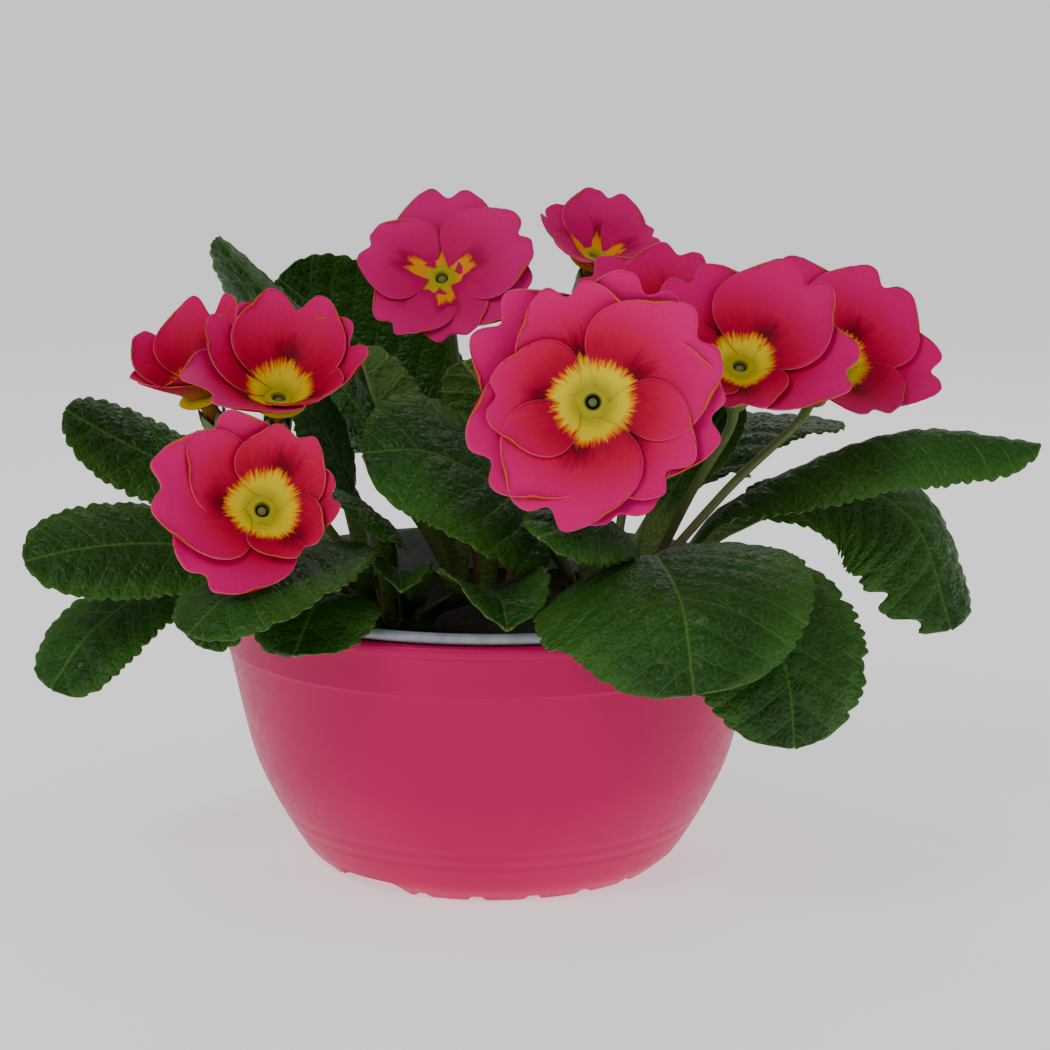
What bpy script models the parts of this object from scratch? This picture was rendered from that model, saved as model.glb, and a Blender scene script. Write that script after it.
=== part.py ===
"""Potted primrose: a bowl-shaped cover pot with a drop-in liner, potting soil, leaves and flowers.

Sizes below are millimetres and are scaled to metres when each mesh is made. Places are given from
the pot's axis at table height, with -Y towards the front, and AXIS_OFFSET then moves the whole plant
so that the model's origin is the middle of its footprint.
"""

import math
import random

import bpy
from mathutils import Vector

MM = 0.001
AXIS_OFFSET = Vector((-10.8, -0.3, 0.0))
UP = Vector((0, 0, 1))

# Cover pot
RIM_RADIUS = 65.0
RIM_HEIGHT = 65.0
POT_WALL = 1.8
POT_SIDES = 60
# Outer profile of the bowl as (height, radius), from its lower edge to under the lip.
BOWL_PROFILE = ((8, 47.6), (16, 52.2), (25.5, 56.5), (36, 59.3), (46, 61.4), (53, 62.9))
BAND_STEP = 0.5
LIP_DROP = 2.6
LIP_OVERHANG = 0.8
# The foot: a skirt under the floor, cut into three feet by arches, with small notches round it.
FOOT_PROFILE = ((0, 40.5), (3.5, 44.5))
FOOT_WALL = 2.0
SKIRT_DEPTH = 5.0
ARCH_COUNT = 3
ARCH_MIDDLE = 228.0
ARCH_HALF_WIDTH = 13.5
ARCH_RISE = 3.3
NOTCH_COUNT = 20
NOTCH_FIRST = -94.5
NOTCH_RISE = 1.2

# Liner
LINER_WALL = 1.0
LINER_GAP = 1.0
LINER_FLOOR = 9.5
LINER_SIDES = 30
LIP_REST_GAP = 0.3
LIP_HEIGHT = 2.4
LIP_RADIUS = 63.9
LIP_ROUNDING = 0.7
NECK_RADIUS = 60.9
NECK_DROP = 1.5
FLOOR_INSET = 7.0

# Soil
SOIL_TOP = 57.0
SOIL_MOUND_RISE = 1.5
SOIL_MOUND_RADIUS = 20.0
SOIL_ROUGHNESS = 0.5
SOIL_EDGE_DROP = 1.0
SOIL_RINGS = (46.0, 32.0, 16.0)
SOIL_SIDES = 24
SOIL_GAP = 0.4
ROOT_DEPTH = 8.0
HOLE_SIDES = 6
HOLE_GAP = 0.9

# Leaves
BLADE_HALF = 0.42
EDGE_HALF = 0.34
RIB_EXTRA = 0.55
PETIOLE_HALF_WIDTH = 1.9
PETIOLE_HALF_DEPTH = 1.3
NECK_SWELL = 0.22
TIP_HALF_WIDTH = 1.2
LOBE_PLACE = 0.12
PETIOLE_STEPS = 3
BLADE_STEPS = 8
CRENATION = 0.05
ACROSS = (-1.0, -0.5, 0.0, 0.5, 1.0)

# Flowers
PETAL_HALF = 0.36
PETAL_ROWS = (0.0, 0.42, 0.76, 1.0)
PETAL_BREADTH = 0.62
PETAL_WIDEST = 0.66
PETAL_NARROWING = 0.26
PETAL_NOTCH = 0.13
NOTCH_SPREAD = 0.3
CORNER_ROUNDING = 0.16
STALK_RADIUS = 1.1
STALK_SIDES = 10
TUBE_RADIUS = 1.9
TUBE_LENGTH = 11.0
HUB_RADIUS = 4.4
HUB_HALF = 0.9
CLAW_RADIUS = 3.0
CLAW_HALF_WIDTH = 1.9
PETAL_TILT = 0.3
MOST_TILT = 1.6
LAYER_STEP = 2.5
PETAL_CUP = 0.04
CALYX_RADIUS = 3.3
CALYX_WALL = 0.75
CALYX_TOOTH = 3.5
CALYX_GAP = 4.0
CUP_DEPTH = 3.0

# The three crowns that the plants grow from: places on the soil.
CROWNS = {"left": (-30, -6), "right": (30, -6), "back": (0, 28)}
LEAF_RING = 10.5
STALK_RING = 4.2

# Each leaf: its crown and place round it in degrees, the way of its midrib from the neck of the
# blade to its tip, the blade's half width, where it is widest, how its blade rolls about the
# midrib from neck to tip, how each half folds and curls, and how far its lobes reach back.
LEAVES = {
    "leaf_right_front": dict(
        crown="right", at=-78, path=((36, -42, 80), (37, -60, 84), (41, -82, 78), (43, -93, 62)),
        half=31, widest=(0.36, 0.42), roll=(-10, -6), left=(6, -30), right=(-4, -26), lobe=11),
    "leaf_right_low": dict(
        crown="right", at=-38, path=((54, -36, 76), (61, -58, 71), (65, -69, 58), (66, -73, 45)),
        half=23, widest=(0.45, 0.45), roll=(-8, 0), left=(0, -18), right=(0, -20), lobe=4),
    "leaf_right_long": dict(
        crown="right", at=2, path=((52, -14, 84), (68, -19, 96), (96, -21, 106), (126, -20, 103)),
        half=15, widest=(0.7, 0.5), roll=(-6, -6), left=(-20, -25), right=(-30, -30)),
    "leaf_right_drooping": dict(
        crown="right", at=42, path=((60, 8, 82), (84, 12, 88), (101, 9, 79), (110, 2, 54)),
        half=22, widest=(0.6, 0.4), roll=(-25, -65), left=(-15, -35), right=(5, -30)),
    "leaf_right_behind": dict(
        crown="right", at=106, path=((46, 22, 84), (66, 34, 99), (86, 42, 98)),
        half=16, widest=(0.6, 0.45), roll=(0, 0), left=(5, -20), right=(5, -20)),
    "leaf_right_upright": dict(
        crown="right", at=66, path=((42, 10, 84), (51, 13, 98), (59, 13, 110)),
        half=11, widest=(0.6, 0.45), roll=(-30, -30), left=(10, 10), right=(10, 10)),
    "leaf_right_inner": dict(
        crown="right", at=135, path=((22, 6, 84), (23, 2, 98), (26, -2, 110)),
        half=12, widest=(0.6, 0.45), roll=(-20, -20), left=(10, 10), right=(10, 10)),
    "leaf_small_front": dict(
        crown="right", at=-122, path=((28, -34, 84), (24, -53, 92), (11, -70, 91)),
        half=12, widest=(0.5, 0.45), roll=(25, 30), left=(-10, -20), right=(-5, -20)),
    "leaf_centre": dict(
        crown="right", at=-162, path=((14, -28, 83), (1, -40, 97), (-14, -44, 105), (-28, -46, 105)),
        half=22, widest=(0.5, 0.45), roll=(50, 42), left=(5, -20), right=(0, -15)),
    "leaf_front_folded": dict(
        crown="left", at=-28, ring=17, path=((-4, -34, 70), (-0.5, -46, 73), (2.5, -56, 74), (4, -63, 69)),
        half=13, widest=(0.5, 0.5), roll=(6, 0), left=(20, 10), right=(20, 10)),
    "leaf_front_curled": dict(
        crown="left", at=-16, path=((-18, -32, 70), (-20, -41, 77), (-19.5, -50, 75)),
        half=7, widest=(0.55, 0.45), roll=(20, 10), left=(20, 20), right=(10, 20)),
    "leaf_left_front": dict(
        crown="left", at=-75, path=((-34, -40, 83), (-43, -58, 84), (-55, -76, 80), (-63, -84, 73)),
        half=18, widest=(0.5, 0.45), roll=(-4, -4), left=(-4, -18), right=(-4, -18), lobe=3),
    "leaf_left_rim": dict(
        crown="left", at=-112, path=((-34, -40, 71), (-38, -56, 73), (-42, -70, 65)),
        half=14, widest=(0.5, 0.45), roll=(0, 0), left=(0, -20), right=(0, -20)),
    "leaf_left_glossy": dict(
        crown="left", at=-150, path=((-56, -24, 77), (-76, -33, 82), (-92, -39, 82), (-104, -43, 80)),
        half=13.5, widest=(0.55, 0.45), roll=(34, 44), left=(-5, -20), right=(0, -15)),
    "leaf_left_curled": dict(
        crown="left", at=178, path=((-58, -8, 73), (-78, -18, 69), (-92, -26, 60), (-101, -32, 48)),
        half=13, widest=(0.8, 0.35), roll=(20, 30), left=(-5, -15), right=(-5, -15)),
    "leaf_left_tucked": dict(
        crown="left", at=-130, ring=17, path=((-50, -31, 72), (-59, -39, 69.5), (-65, -45, 61)),
        half=7.5, widest=(0.6, 0.4), roll=(25, 35), left=(-5, -15), right=(-5, -15)),
    "leaf_left_upper": dict(
        crown="left", at=146, path=((-54, 8, 84), (-72, 12, 90), (-89, 12, 98), (-102, 10, 106)),
        half=12, widest=(0.7, 0.45), roll=(34, 34), left=(0, -25), right=(0, -15)),
    "leaf_left_small": dict(
        crown="left", at=-51, path=((-25, -26, 83), (-26, -36, 90), (-33, -43, 93)),
        half=11, widest=(0.6, 0.45), roll=(30, 30), left=(0, -25), right=(0, -15)),
    "leaf_left_inner": dict(
        crown="left", at=92, path=((-34, 12, 84), (-41, 15, 102), (-48, 12, 114)),
        half=12, widest=(0.6, 0.45), roll=(0, 0), left=(5, -20), right=(5, -20)),
    "leaf_upright": dict(
        crown="back", at=-140, path=((-16, 12, 88), (-26, 7, 106), (-31, 3, 122)),
        half=12, widest=(0.6, 0.45), roll=(0, 0), left=(20, 20), right=(20, 20)),
    "leaf_tall_left": dict(
        crown="back", at=178, path=((-26, 32, 92), (-47, 34, 120), (-67, 30, 145)),
        half=13, widest=(0.6, 0.45), roll=(110, 130), left=(5, -20), right=(10, 40)),
    "leaf_tall_back": dict(
        crown="back", at=138, path=((-8, 46, 88), (-26, 50, 110), (-54, 50, 133)),
        half=18, widest=(0.6, 0.4), roll=(50, 70), left=(5, -20), right=(5, 30)),
    "leaf_middle": dict(
        crown="back", at=-98, path=((2, 8, 88), (2, -4, 108), (-6, -12, 121)),
        half=13, widest=(0.6, 0.45), roll=(10, 10), left=(5, -20), right=(5, -20)),
    "leaf_back_right": dict(
        crown="back", at=12, path=((26, 44, 84), (44, 60, 88), (60, 76, 80)),
        half=20, widest=(0.55, 0.45), roll=(0, 0), left=(5, -25), right=(5, -25)),
    "leaf_back": dict(
        crown="back", at=54, path=((8, 54, 80), (12, 74, 78), (14, 90, 62)),
        half=20, widest=(0.5, 0.45), roll=(0, 0), left=(0, -25), right=(0, -25)),
    "leaf_back_left": dict(
        crown="back", at=96, path=((-14, 58, 86), (-28, 74, 91), (-42, 88, 82)),
        half=19, widest=(0.55, 0.45), roll=(0, 0), left=(5, -25), right=(5, -25)),
    "leaf_side_left": dict(
        crown="left", at=118, path=((-46, 24, 74), (-64, 40, 74), (-78, 52, 62)),
        half=18, widest=(0.55, 0.45), roll=(0, 0), left=(0, -25), right=(0, -25)),
}

# Each flower: its crown and place in it in degrees, its centre, the way it faces, how far its
# petals reach, how steeply they rise from the throat and how much they then curl outwards, how
# deeply they are notched where that isn't usual, and its petals as (clock angle seen from the
# front, share of the reach, layer, degrees more that it curls in).
FLOWERS = {
    "front": dict(
        crown="right", at=-100, centre=(22.5, -55, 117.5), faces=(0, -0.97, 0.25), reach=29, rise=(6, 6),
        petals=((-14, 0.9, 1, 0), (60, 1, 1, -4), (134, 0.88, 1, 2), (202, 0.99, 1, -4), (272, 0.8, 1, 6),
                (26, 1, 0, 0), (98, 1, 0, 0), (168, 0.95, 0, 0), (240, 1, 0, 4), (310, 1.02, 0, -4))),
    "back_pink": dict(
        crown="back", at=-150, centre=(-12, 14, 137), faces=(-0.08, -0.8, 0.6), reach=21.5, rise=(12, -8),
        petals=((2, 1.1, 0, -4), (62, 1.08, 0, 4), (104, 1.02, 0, -8), (166, 0.84, 0, -14), (218, 0.9, 0, 0),
                (290, 0.95, 0, 6))),
    "back_side": dict(
        crown="back", at=20, centre=(25, 34, 140), faces=(0.22, -0.45, 0.87), reach=18, rise=(25, 0),
        petals=((30, 1.1, 0, 10), (95, 0.9, 0, 0), (165, 0.8, 0, 0), (235, 0.9, 0, 0), (310, 0.95, 0, 5))),
    "right": dict(
        crown="right", at=-20, centre=(56, -32, 122), faces=(0.05, -0.66, 0.75), reach=24.5, rise=(20, 0),
        petals=((-29, 1.05, 0, 4), (43, 1.1, 0, 6), (110, 1.1, 0, -4), (184, 0.75, 0, 0), (257, 0.85, 0, 4))),
    "right_behind": dict(
        crown="right", at=130, centre=(38, 2, 127), faces=(0, -0.8, 0.6), reach=20.5, rise=(15, 0),
        petals=((20, 1, 0, 0), (92, 1, 0, 0), (164, 1, 0, 0), (236, 1, 0, 0), (308, 1, 0, 0))),
    "far_right": dict(
        crown="right", at=50, centre=(80, 0, 118), faces=(0.3, -0.62, 0.72), reach=26, rise=(20, 0),
        petals=((-24, 1.08, 0, 6), (48, 1.05, 0, 0), (112, 1, 0, -6), (180, 0.85, 0, 0), (262, 0.8, 0, 6))),
    "left_outer": dict(
        crown="left", at=170, centre=(-68, 2, 111), faces=(-0.3, -0.3, 0.9), reach=23, rise=(40, 10),
        notch=0.22,
        petals=((-72, 1, 0, 0), (-20, 1.05, 0, 4), (34, 1, 0, 0), (106, 0.8, 0, 0), (200, 0.8, 0, -6))),
    "left_inner": dict(
        crown="left", at=20, centre=(-48, -26, 114), faces=(0.1, -0.5, 0.86), reach=24, rise=(34, 8),
        notch=0.22,
        petals=((-35, 1.02, 0, 4), (19, 1.06, 0, 4), (74, 1, 0, 0), (138, 0.76, 0, -4), (236, 1.15, 0, -14))),
    "left_low": dict(
        crown="left", at=-70, centre=(-49, -62, 95), faces=(0.2, -0.85, 0.5), reach=25, rise=(26, 0),
        petals=((-34, 0.92, 0, 4), (30, 0.76, 0, 8), (88, 0.7, 0, 4), (146, 0.66, 0, 10), (222, 1.04, 0, -8),
                (276, 1.1, 0, 0))),
}

COLOURS = {
    "pot": ((0.86, 0.0, 0.13), 0.38),
    "liner": ((0.36, 0.38, 0.42), 0.45),
    "soil": ((0.035, 0.022, 0.015), 0.95),
    "leaf": ((0.03, 0.11, 0.02), 0.5),
    "stalk": ((0.10, 0.16, 0.04), 0.55),
    "petal": ((0.86, 0.01, 0.10), 0.55),
    "pink": ((0.80, 0.03, 0.22), 0.55),
}


def clear_scene():
    for obj in list(bpy.data.objects):
        bpy.data.objects.remove(obj)


def material(name):
    found = bpy.data.materials.get(name)
    if found:
        return found
    made = bpy.data.materials.new(name)
    made.use_nodes = True
    colour, roughness = COLOURS[name]
    shader = made.node_tree.nodes["Principled BSDF"]
    shader.inputs["Base Color"].default_value = (*colour, 1)
    shader.inputs["Roughness"].default_value = roughness
    shader.inputs["Metallic"].default_value = 0
    return made


def mesh_object(name, points, faces, material_name, smooth=True):
    """Makes an object from points in millimetres, placed from the pot's axis."""
    mesh = bpy.data.meshes.new(name)
    mesh.from_pydata([tuple((Vector(p) + AXIS_OFFSET) * MM) for p in points], [], faces)
    mesh.materials.append(material(material_name))
    obj = bpy.data.objects.new(name, mesh)
    bpy.context.scene.collection.objects.link(obj)
    if smooth:
        mesh.shade_smooth()
        mesh.set_sharp_from_angle(angle=math.radians(40))
    return obj


def ring_faces(rings, sides, closed=False):
    """Quads that join consecutive rings of equal size, and end caps unless the rings close up."""
    faces = []
    for i in range(rings if closed else rings - 1):
        low, high = i * sides, (i + 1) % rings * sides
        for j in range(sides):
            k = (j + 1) % sides
            faces.append((low + j, low + k, high + k, high + j))
    if not closed:
        faces.append(tuple(range(sides))[::-1])
        faces.append(tuple(range((rings - 1) * sides, rings * sides)))
    return faces


def apply_boolean(target, collection, operation):
    """Joins or cuts the target with all of the collection's objects, which are then removed."""
    modifier = target.modifiers.new("join", "BOOLEAN")
    modifier.operand_type = "COLLECTION"
    modifier.operation = operation
    modifier.collection = collection
    modifier.solver = "MANIFOLD"
    bpy.context.view_layer.update()
    graph = bpy.context.evaluated_depsgraph_get()
    result = bpy.data.meshes.new_from_object(target.evaluated_get(graph))
    target.modifiers.clear()
    target.data = result
    for obj in list(collection.objects):
        bpy.data.objects.remove(obj)
    bpy.data.collections.remove(collection)


def into_collection(name, objects):
    collection = bpy.data.collections.new(name)
    bpy.context.scene.collection.children.link(collection)
    for obj in objects:
        bpy.context.scene.collection.objects.unlink(obj)
        collection.objects.link(obj)
    return collection


# The pot, its liner and the soil


def round_points(profile, sides, lift=None):
    """Points of a turned wall from its (radius, height) profile. A lift raises its lower edge."""
    points = []
    for radius, height in profile:
        for j in range(sides):
            angle = 2 * math.pi * j / sides
            rise = lift(angle) if lift and height == 0 else 0.0
            points.append((radius * math.cos(angle), radius * math.sin(angle), height + rise))
    return points


def from_nearest(angle, first, count):
    """Degrees from an angle to the nearest of places that repeat evenly round the pot."""
    gap = 360.0 / count
    return abs((math.degrees(angle) - first + gap / 2) % gap - gap / 2)


def foot_lift(angle):
    """How far the foot's lower edge is cut away: arches between the feet, and small notches."""
    arch = from_nearest(angle, ARCH_MIDDLE, ARCH_COUNT)
    side = 360.0 / POT_SIDES
    notch = NOTCH_RISE if from_nearest(angle, NOTCH_FIRST, NOTCH_COUNT) < side / 2 else 0.0
    return max(ARCH_RISE * ease((ARCH_HALF_WIDTH + side / 2 - arch) / side), notch)


def make_pot():
    """One thin wall from the foot up over the lip and down inside, with the floor across it."""
    lip_low = RIM_HEIGHT - LIP_DROP
    band_radius = RIM_RADIUS - LIP_OVERHANG
    floor_top = SKIRT_DEPTH + POT_WALL
    skirt = [(r - FOOT_WALL, z) for z, r in FOOT_PROFILE]
    outer = [(r, z) for z, r in (*FOOT_PROFILE, *BOWL_PROFILE)]
    outer += [(BOWL_PROFILE[-1][1] + BAND_STEP, BOWL_PROFILE[-1][0] + 0.4), (band_radius, lip_low)]
    outer += [(RIM_RADIUS, lip_low + 0.3), (RIM_RADIUS, RIM_HEIGHT)]
    inner = [(RIM_RADIUS - POT_WALL - LIP_OVERHANG, RIM_HEIGHT)]
    inner += [(r - POT_WALL, z) for z, r in BOWL_PROFILE[::-2]]
    inner += [(skirt[1][0] + 1.5, floor_top + 2.0), (skirt[1][0] - 1.5, floor_top)]
    profile = [(skirt[1][0], SKIRT_DEPTH), *skirt[::-1], *outer, *inner]
    points = round_points(profile, POT_SIDES, foot_lift)
    return mesh_object("pot_bowl", points, ring_faces(len(profile), POT_SIDES), "pot")


def make_liner():
    """A thin pot that hangs by its lip on the cover pot's rim and follows the bowl inside."""
    lip_low = RIM_HEIGHT + LIP_REST_GAP
    lip_top = lip_low + LIP_HEIGHT
    neck = lip_low - NECK_DROP
    wall = [(r - POT_WALL - LINER_GAP, z) for z, r in BOWL_PROFILE[1::2]]
    floor_radius = wall[0][0] - FLOOR_INSET
    outer = [(floor_radius, LINER_FLOOR), *wall, (NECK_RADIUS, neck), (NECK_RADIUS + LIP_ROUNDING, lip_low)]
    lip = [(LIP_RADIUS, lip_low), (LIP_RADIUS, lip_top - LIP_ROUNDING), (LIP_RADIUS - LIP_ROUNDING, lip_top)]
    inner = [(NECK_RADIUS, lip_top), (NECK_RADIUS - LINER_WALL, neck)]
    inner += [(r - LINER_WALL, z) for r, z in wall[::-1]]
    inner += [(floor_radius - LINER_WALL, LINER_FLOOR + LINER_WALL)]
    profile = [*outer, *lip, *inner]
    points = round_points(profile, LINER_SIDES)
    return mesh_object("liner_pot", points, ring_faces(len(profile), LINER_SIDES), "liner")


def soil_height(x, y):
    """The soil's surface: a low mound under each crown."""
    spread = SOIL_MOUND_RADIUS**2
    mound = max(math.exp(-((x - cx) ** 2 + (y - cy) ** 2) / spread) for cx, cy in CROWNS.values())
    return SOIL_TOP + SOIL_MOUND_RISE * mound


def make_hole(number, x, y, radius):
    """A cutter for the hole that a petiole or stalk stands in."""
    reach = (radius + HOLE_GAP) / math.cos(math.pi / HOLE_SIDES)
    low = SOIL_TOP - ROOT_DEPTH - HOLE_GAP
    high = SOIL_TOP + ROOT_DEPTH
    prism = round_points([(reach, low), (reach, high)], HOLE_SIDES)
    prism = [(px + x, py + y, pz) for px, py, pz in prism]
    return mesh_object(f"hole_{number}", prism, ring_faces(2, HOLE_SIDES), "soil")


def make_soil(holes):
    draw = random.Random(4)
    floor = LINER_FLOOR + LINER_WALL + SOIL_GAP
    wall = [(r - POT_WALL - LINER_GAP - LINER_WALL - SOIL_GAP, z) for z, r in BOWL_PROFILE[1::2]]
    side = [(wall[0][0] - FLOOR_INSET, floor), *wall[:-1], (wall[-1][0], SOIL_TOP - SOIL_EDGE_DROP)]
    top = [(radius, SOIL_TOP) for radius in SOIL_RINGS]
    points = round_points(side + top, SOIL_SIDES)
    for k in range(len(side) * SOIL_SIDES, len(points)):
        x, y, _ = points[k]
        points[k] = (x, y, soil_height(x, y) + draw.uniform(-1, 1) * SOIL_ROUGHNESS)
    faces = ring_faces(len(side + top), SOIL_SIDES)
    lid = faces.pop()
    points.append((0, 0, soil_height(0, 0)))
    faces += [(lid[j], lid[(j + 1) % SOIL_SIDES], len(points) - 1) for j in range(SOIL_SIDES)]
    soil = mesh_object("potting_soil", points, faces, "soil")
    cutters = [make_hole(number, *hole) for number, hole in enumerate(holes)]
    apply_boolean(soil, into_collection("holes", cutters), "DIFFERENCE")


# Curves


def spline(points):
    """Points along a smooth curve through the given points, by centripetal spacing."""
    points = [Vector(p) for p in points]
    ends = [2 * points[0] - points[1], *points, 2 * points[-1] - points[-2]]
    fine = []
    for a, b, c, d in zip(ends, ends[1:], ends[2:], ends[3:]):
        t = [0.0]
        for p, q in ((a, b), (b, c), (c, d)):
            t.append(t[-1] + math.sqrt((q - p).length))
        for k in range(24):
            u = t[1] + (t[2] - t[1]) * k / 24
            a1 = a.lerp(b, u / t[1])
            a2 = b.lerp(c, (u - t[1]) / (t[2] - t[1]))
            a3 = c.lerp(d, (u - t[2]) / (t[3] - t[2]))
            b1 = a1.lerp(a2, u / t[2])
            b2 = a2.lerp(a3, (u - t[1]) / (t[3] - t[1]))
            fine.append(b1.lerp(b2, (u - t[1]) / (t[2] - t[1])))
    fine.append(points[-1])
    return Path(fine)


class Path:
    """A fine polyline that is read by its share of the whole length."""

    def __init__(self, points):
        self.points = points
        self.lengths = [0.0]
        for p, q in zip(points, points[1:]):
            self.lengths.append(self.lengths[-1] + (q - p).length)
        self.length = self.lengths[-1]

    def at(self, share):
        want = min(max(share, 0.0), 1.0) * self.length
        for i, far in enumerate(self.lengths[1:]):
            if want <= far:
                near = self.lengths[i]
                return self.points[i].lerp(self.points[i + 1], (want - near) / max(far - near, 1e-9))
        return self.points[-1].copy()

    def along(self, share):
        return (self.at(share + 0.01) - self.at(share - 0.01)).normalized()

    def share_of(self, point):
        nearest = min(range(len(self.points)), key=lambda i: (self.points[i] - point).length)
        return self.lengths[nearest] / self.length


def ease(x):
    x = min(max(x, 0.0), 1.0)
    return x * x * (3 - 2 * x)


def arc(distance, start, turn):
    """(across, up) at a distance along an arc that starts at one angle and turns by another."""
    if abs(turn) < 1e-4:
        return distance * math.cos(start), distance * math.sin(start)
    return (
        distance * (math.sin(start + turn) - math.sin(start)) / turn,
        distance * (math.cos(start) - math.cos(start + turn)) / turn,
    )


# Leaves


def root_of(spec):
    """Where a leaf or stalk stands on the soil: its place round its crown."""
    cx, cy = CROWNS[spec["crown"]]
    ring = spec.get("ring", STALK_RING if "centre" in spec else LEAF_RING)
    angle = math.radians(spec["at"])
    return cx + ring * math.cos(angle), cy + ring * math.sin(angle)


class Leaf:
    """The middle surface of a leaf, read by its share along the midrib and across a half."""

    def __init__(self, spec):
        self.spec = spec
        x, y = root_of(spec)
        foot = [(x, y, SOIL_TOP - ROOT_DEPTH), (x, y, SOIL_TOP - 3.0), (x, y, SOIL_TOP + 3.0)]
        self.path = spline([*foot, *spec["path"]])
        self.neck = self.path.share_of(Vector(spec["path"][0]))
        tip = Vector(spec["path"][-1])
        out = Vector((tip.x - x, tip.y - y, 0)).normalized()
        self.side = out.cross(UP)

    def blade(self, share):
        return (share - self.neck) / (1 - self.neck)

    def half_width(self, share, crenate=0.0):
        blade = self.blade(share)
        swell = NECK_SWELL * self.spec["half"] * ease(share / self.neck * 1.6 - 0.6)
        if blade <= 0:
            return PETIOLE_HALF_WIDTH + swell
        rise, fall = self.spec["widest"]
        peak = rise / (rise + fall)
        top = peak**rise * (1 - peak) ** fall
        oval = max(blade, 0) ** rise * max(1 - blade, 0) ** fall / top
        full = self.spec["half"] * oval * (1 + crenate)
        at_neck = PETIOLE_HALF_WIDTH + NECK_SWELL * self.spec["half"]
        return max(full, at_neck * (1 - ease(blade * 2)), TIP_HALF_WIDTH)

    def point(self, share, across, crenate=0.0):
        centre, along = self.path.at(share), self.path.along(share)
        side = (self.side - self.side.dot(along) * along).normalized()
        up = side.cross(along)
        blade = self.blade(share)
        roll = math.radians(self.spec["roll"][0] + (self.spec["roll"][1] - self.spec["roll"][0]) * blade)
        roll *= ease(share / self.neck)
        side, up = side * math.cos(roll) + up * math.sin(roll), up * math.cos(roll) - side * math.sin(roll)
        fold, curl = self.spec["left" if across < 0 else "right"]
        strength = ease(blade * 3 + 0.3)
        width, lift = arc(
            self.half_width(share, crenate) * abs(across),
            math.radians(fold) * strength,
            math.radians(curl) * strength * abs(across),
        )
        back = self.spec.get("lobe", 0.0) * across**2 * max(0.0, 1 - 2 * abs(blade - LOBE_PLACE)) ** 3
        return centre + side * math.copysign(width, across) + up * lift - along * back

    def normal(self, share, across):
        step = 0.02
        a = self.point(min(share + step, 1), across) - self.point(share - step, across)
        inner, outer = max(across - 0.1, -1), min(across + 0.1, 1)
        b = self.point(share, outer) - self.point(share, inner)
        return b.cross(a).normalized()


def half_depth(leaf, share, across):
    """Half the leaf's thickness: a round petiole that thins into the blade, with a raised rib."""
    blade = ease(leaf.blade(share) * 2.5 + 0.5)
    oval = PETIOLE_HALF_DEPTH * math.sqrt(max(0.12, 1 - across * across))
    thin = EDGE_HALF if abs(across) == 1 else BLADE_HALF
    rib = RIB_EXTRA if across == 0 else 0.0
    return oval * (1 - blade) + thin * blade, rib * blade * (1 - 0.7 * max(leaf.blade(share), 0))


def make_leaf(name, spec):
    """A closed thin solid: rings of the same points, top from left to right and back under."""
    leaf = Leaf(spec)
    shares = [leaf.neck * k / PETIOLE_STEPS for k in range(PETIOLE_STEPS)]
    shares += [leaf.neck + (1 - leaf.neck) * k / BLADE_STEPS for k in range(BLADE_STEPS + 1)]
    points = []
    for number, share in enumerate(shares):
        tooth = CRENATION * (1 if number % 2 else -1) if leaf.blade(share) > 0.05 else 0.0
        top, under = [], []
        for across in ACROSS:
            point = leaf.point(share, across, tooth)
            normal = leaf.normal(share, across)
            half, rib = half_depth(leaf, share, across)
            top.append(point + normal * half)
            under.append(point - normal * (half + rib))
        points += top + under[::-1]
    count, sides = len(ACROSS), 2 * len(ACROSS)
    faces = []
    for i in range(len(shares) - 1):
        low, high = i * sides, (i + 1) * sides
        for j in range(sides):
            k = (j + 1) % sides
            quad = (low + j, low + k, high + k, high + j)
            if j >= count:
                faces += [(quad[0], quad[1], quad[3]), (quad[1], quad[2], quad[3])]
            else:
                faces += [(quad[0], quad[1], quad[2]), (quad[0], quad[2], quad[3])]
    for start, flip in ((0, True), ((len(shares) - 1) * sides, False)):
        for j in range(count - 1):
            a, b, c, d = start + j, start + j + 1, start + sides - 2 - j, start + sides - 1 - j
            tris = [(a, b, c), (a, c, d)]
            faces += [t[::-1] for t in tris] if flip else tris
    return mesh_object(name, points, faces, "leaf")


# Flowers


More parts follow.
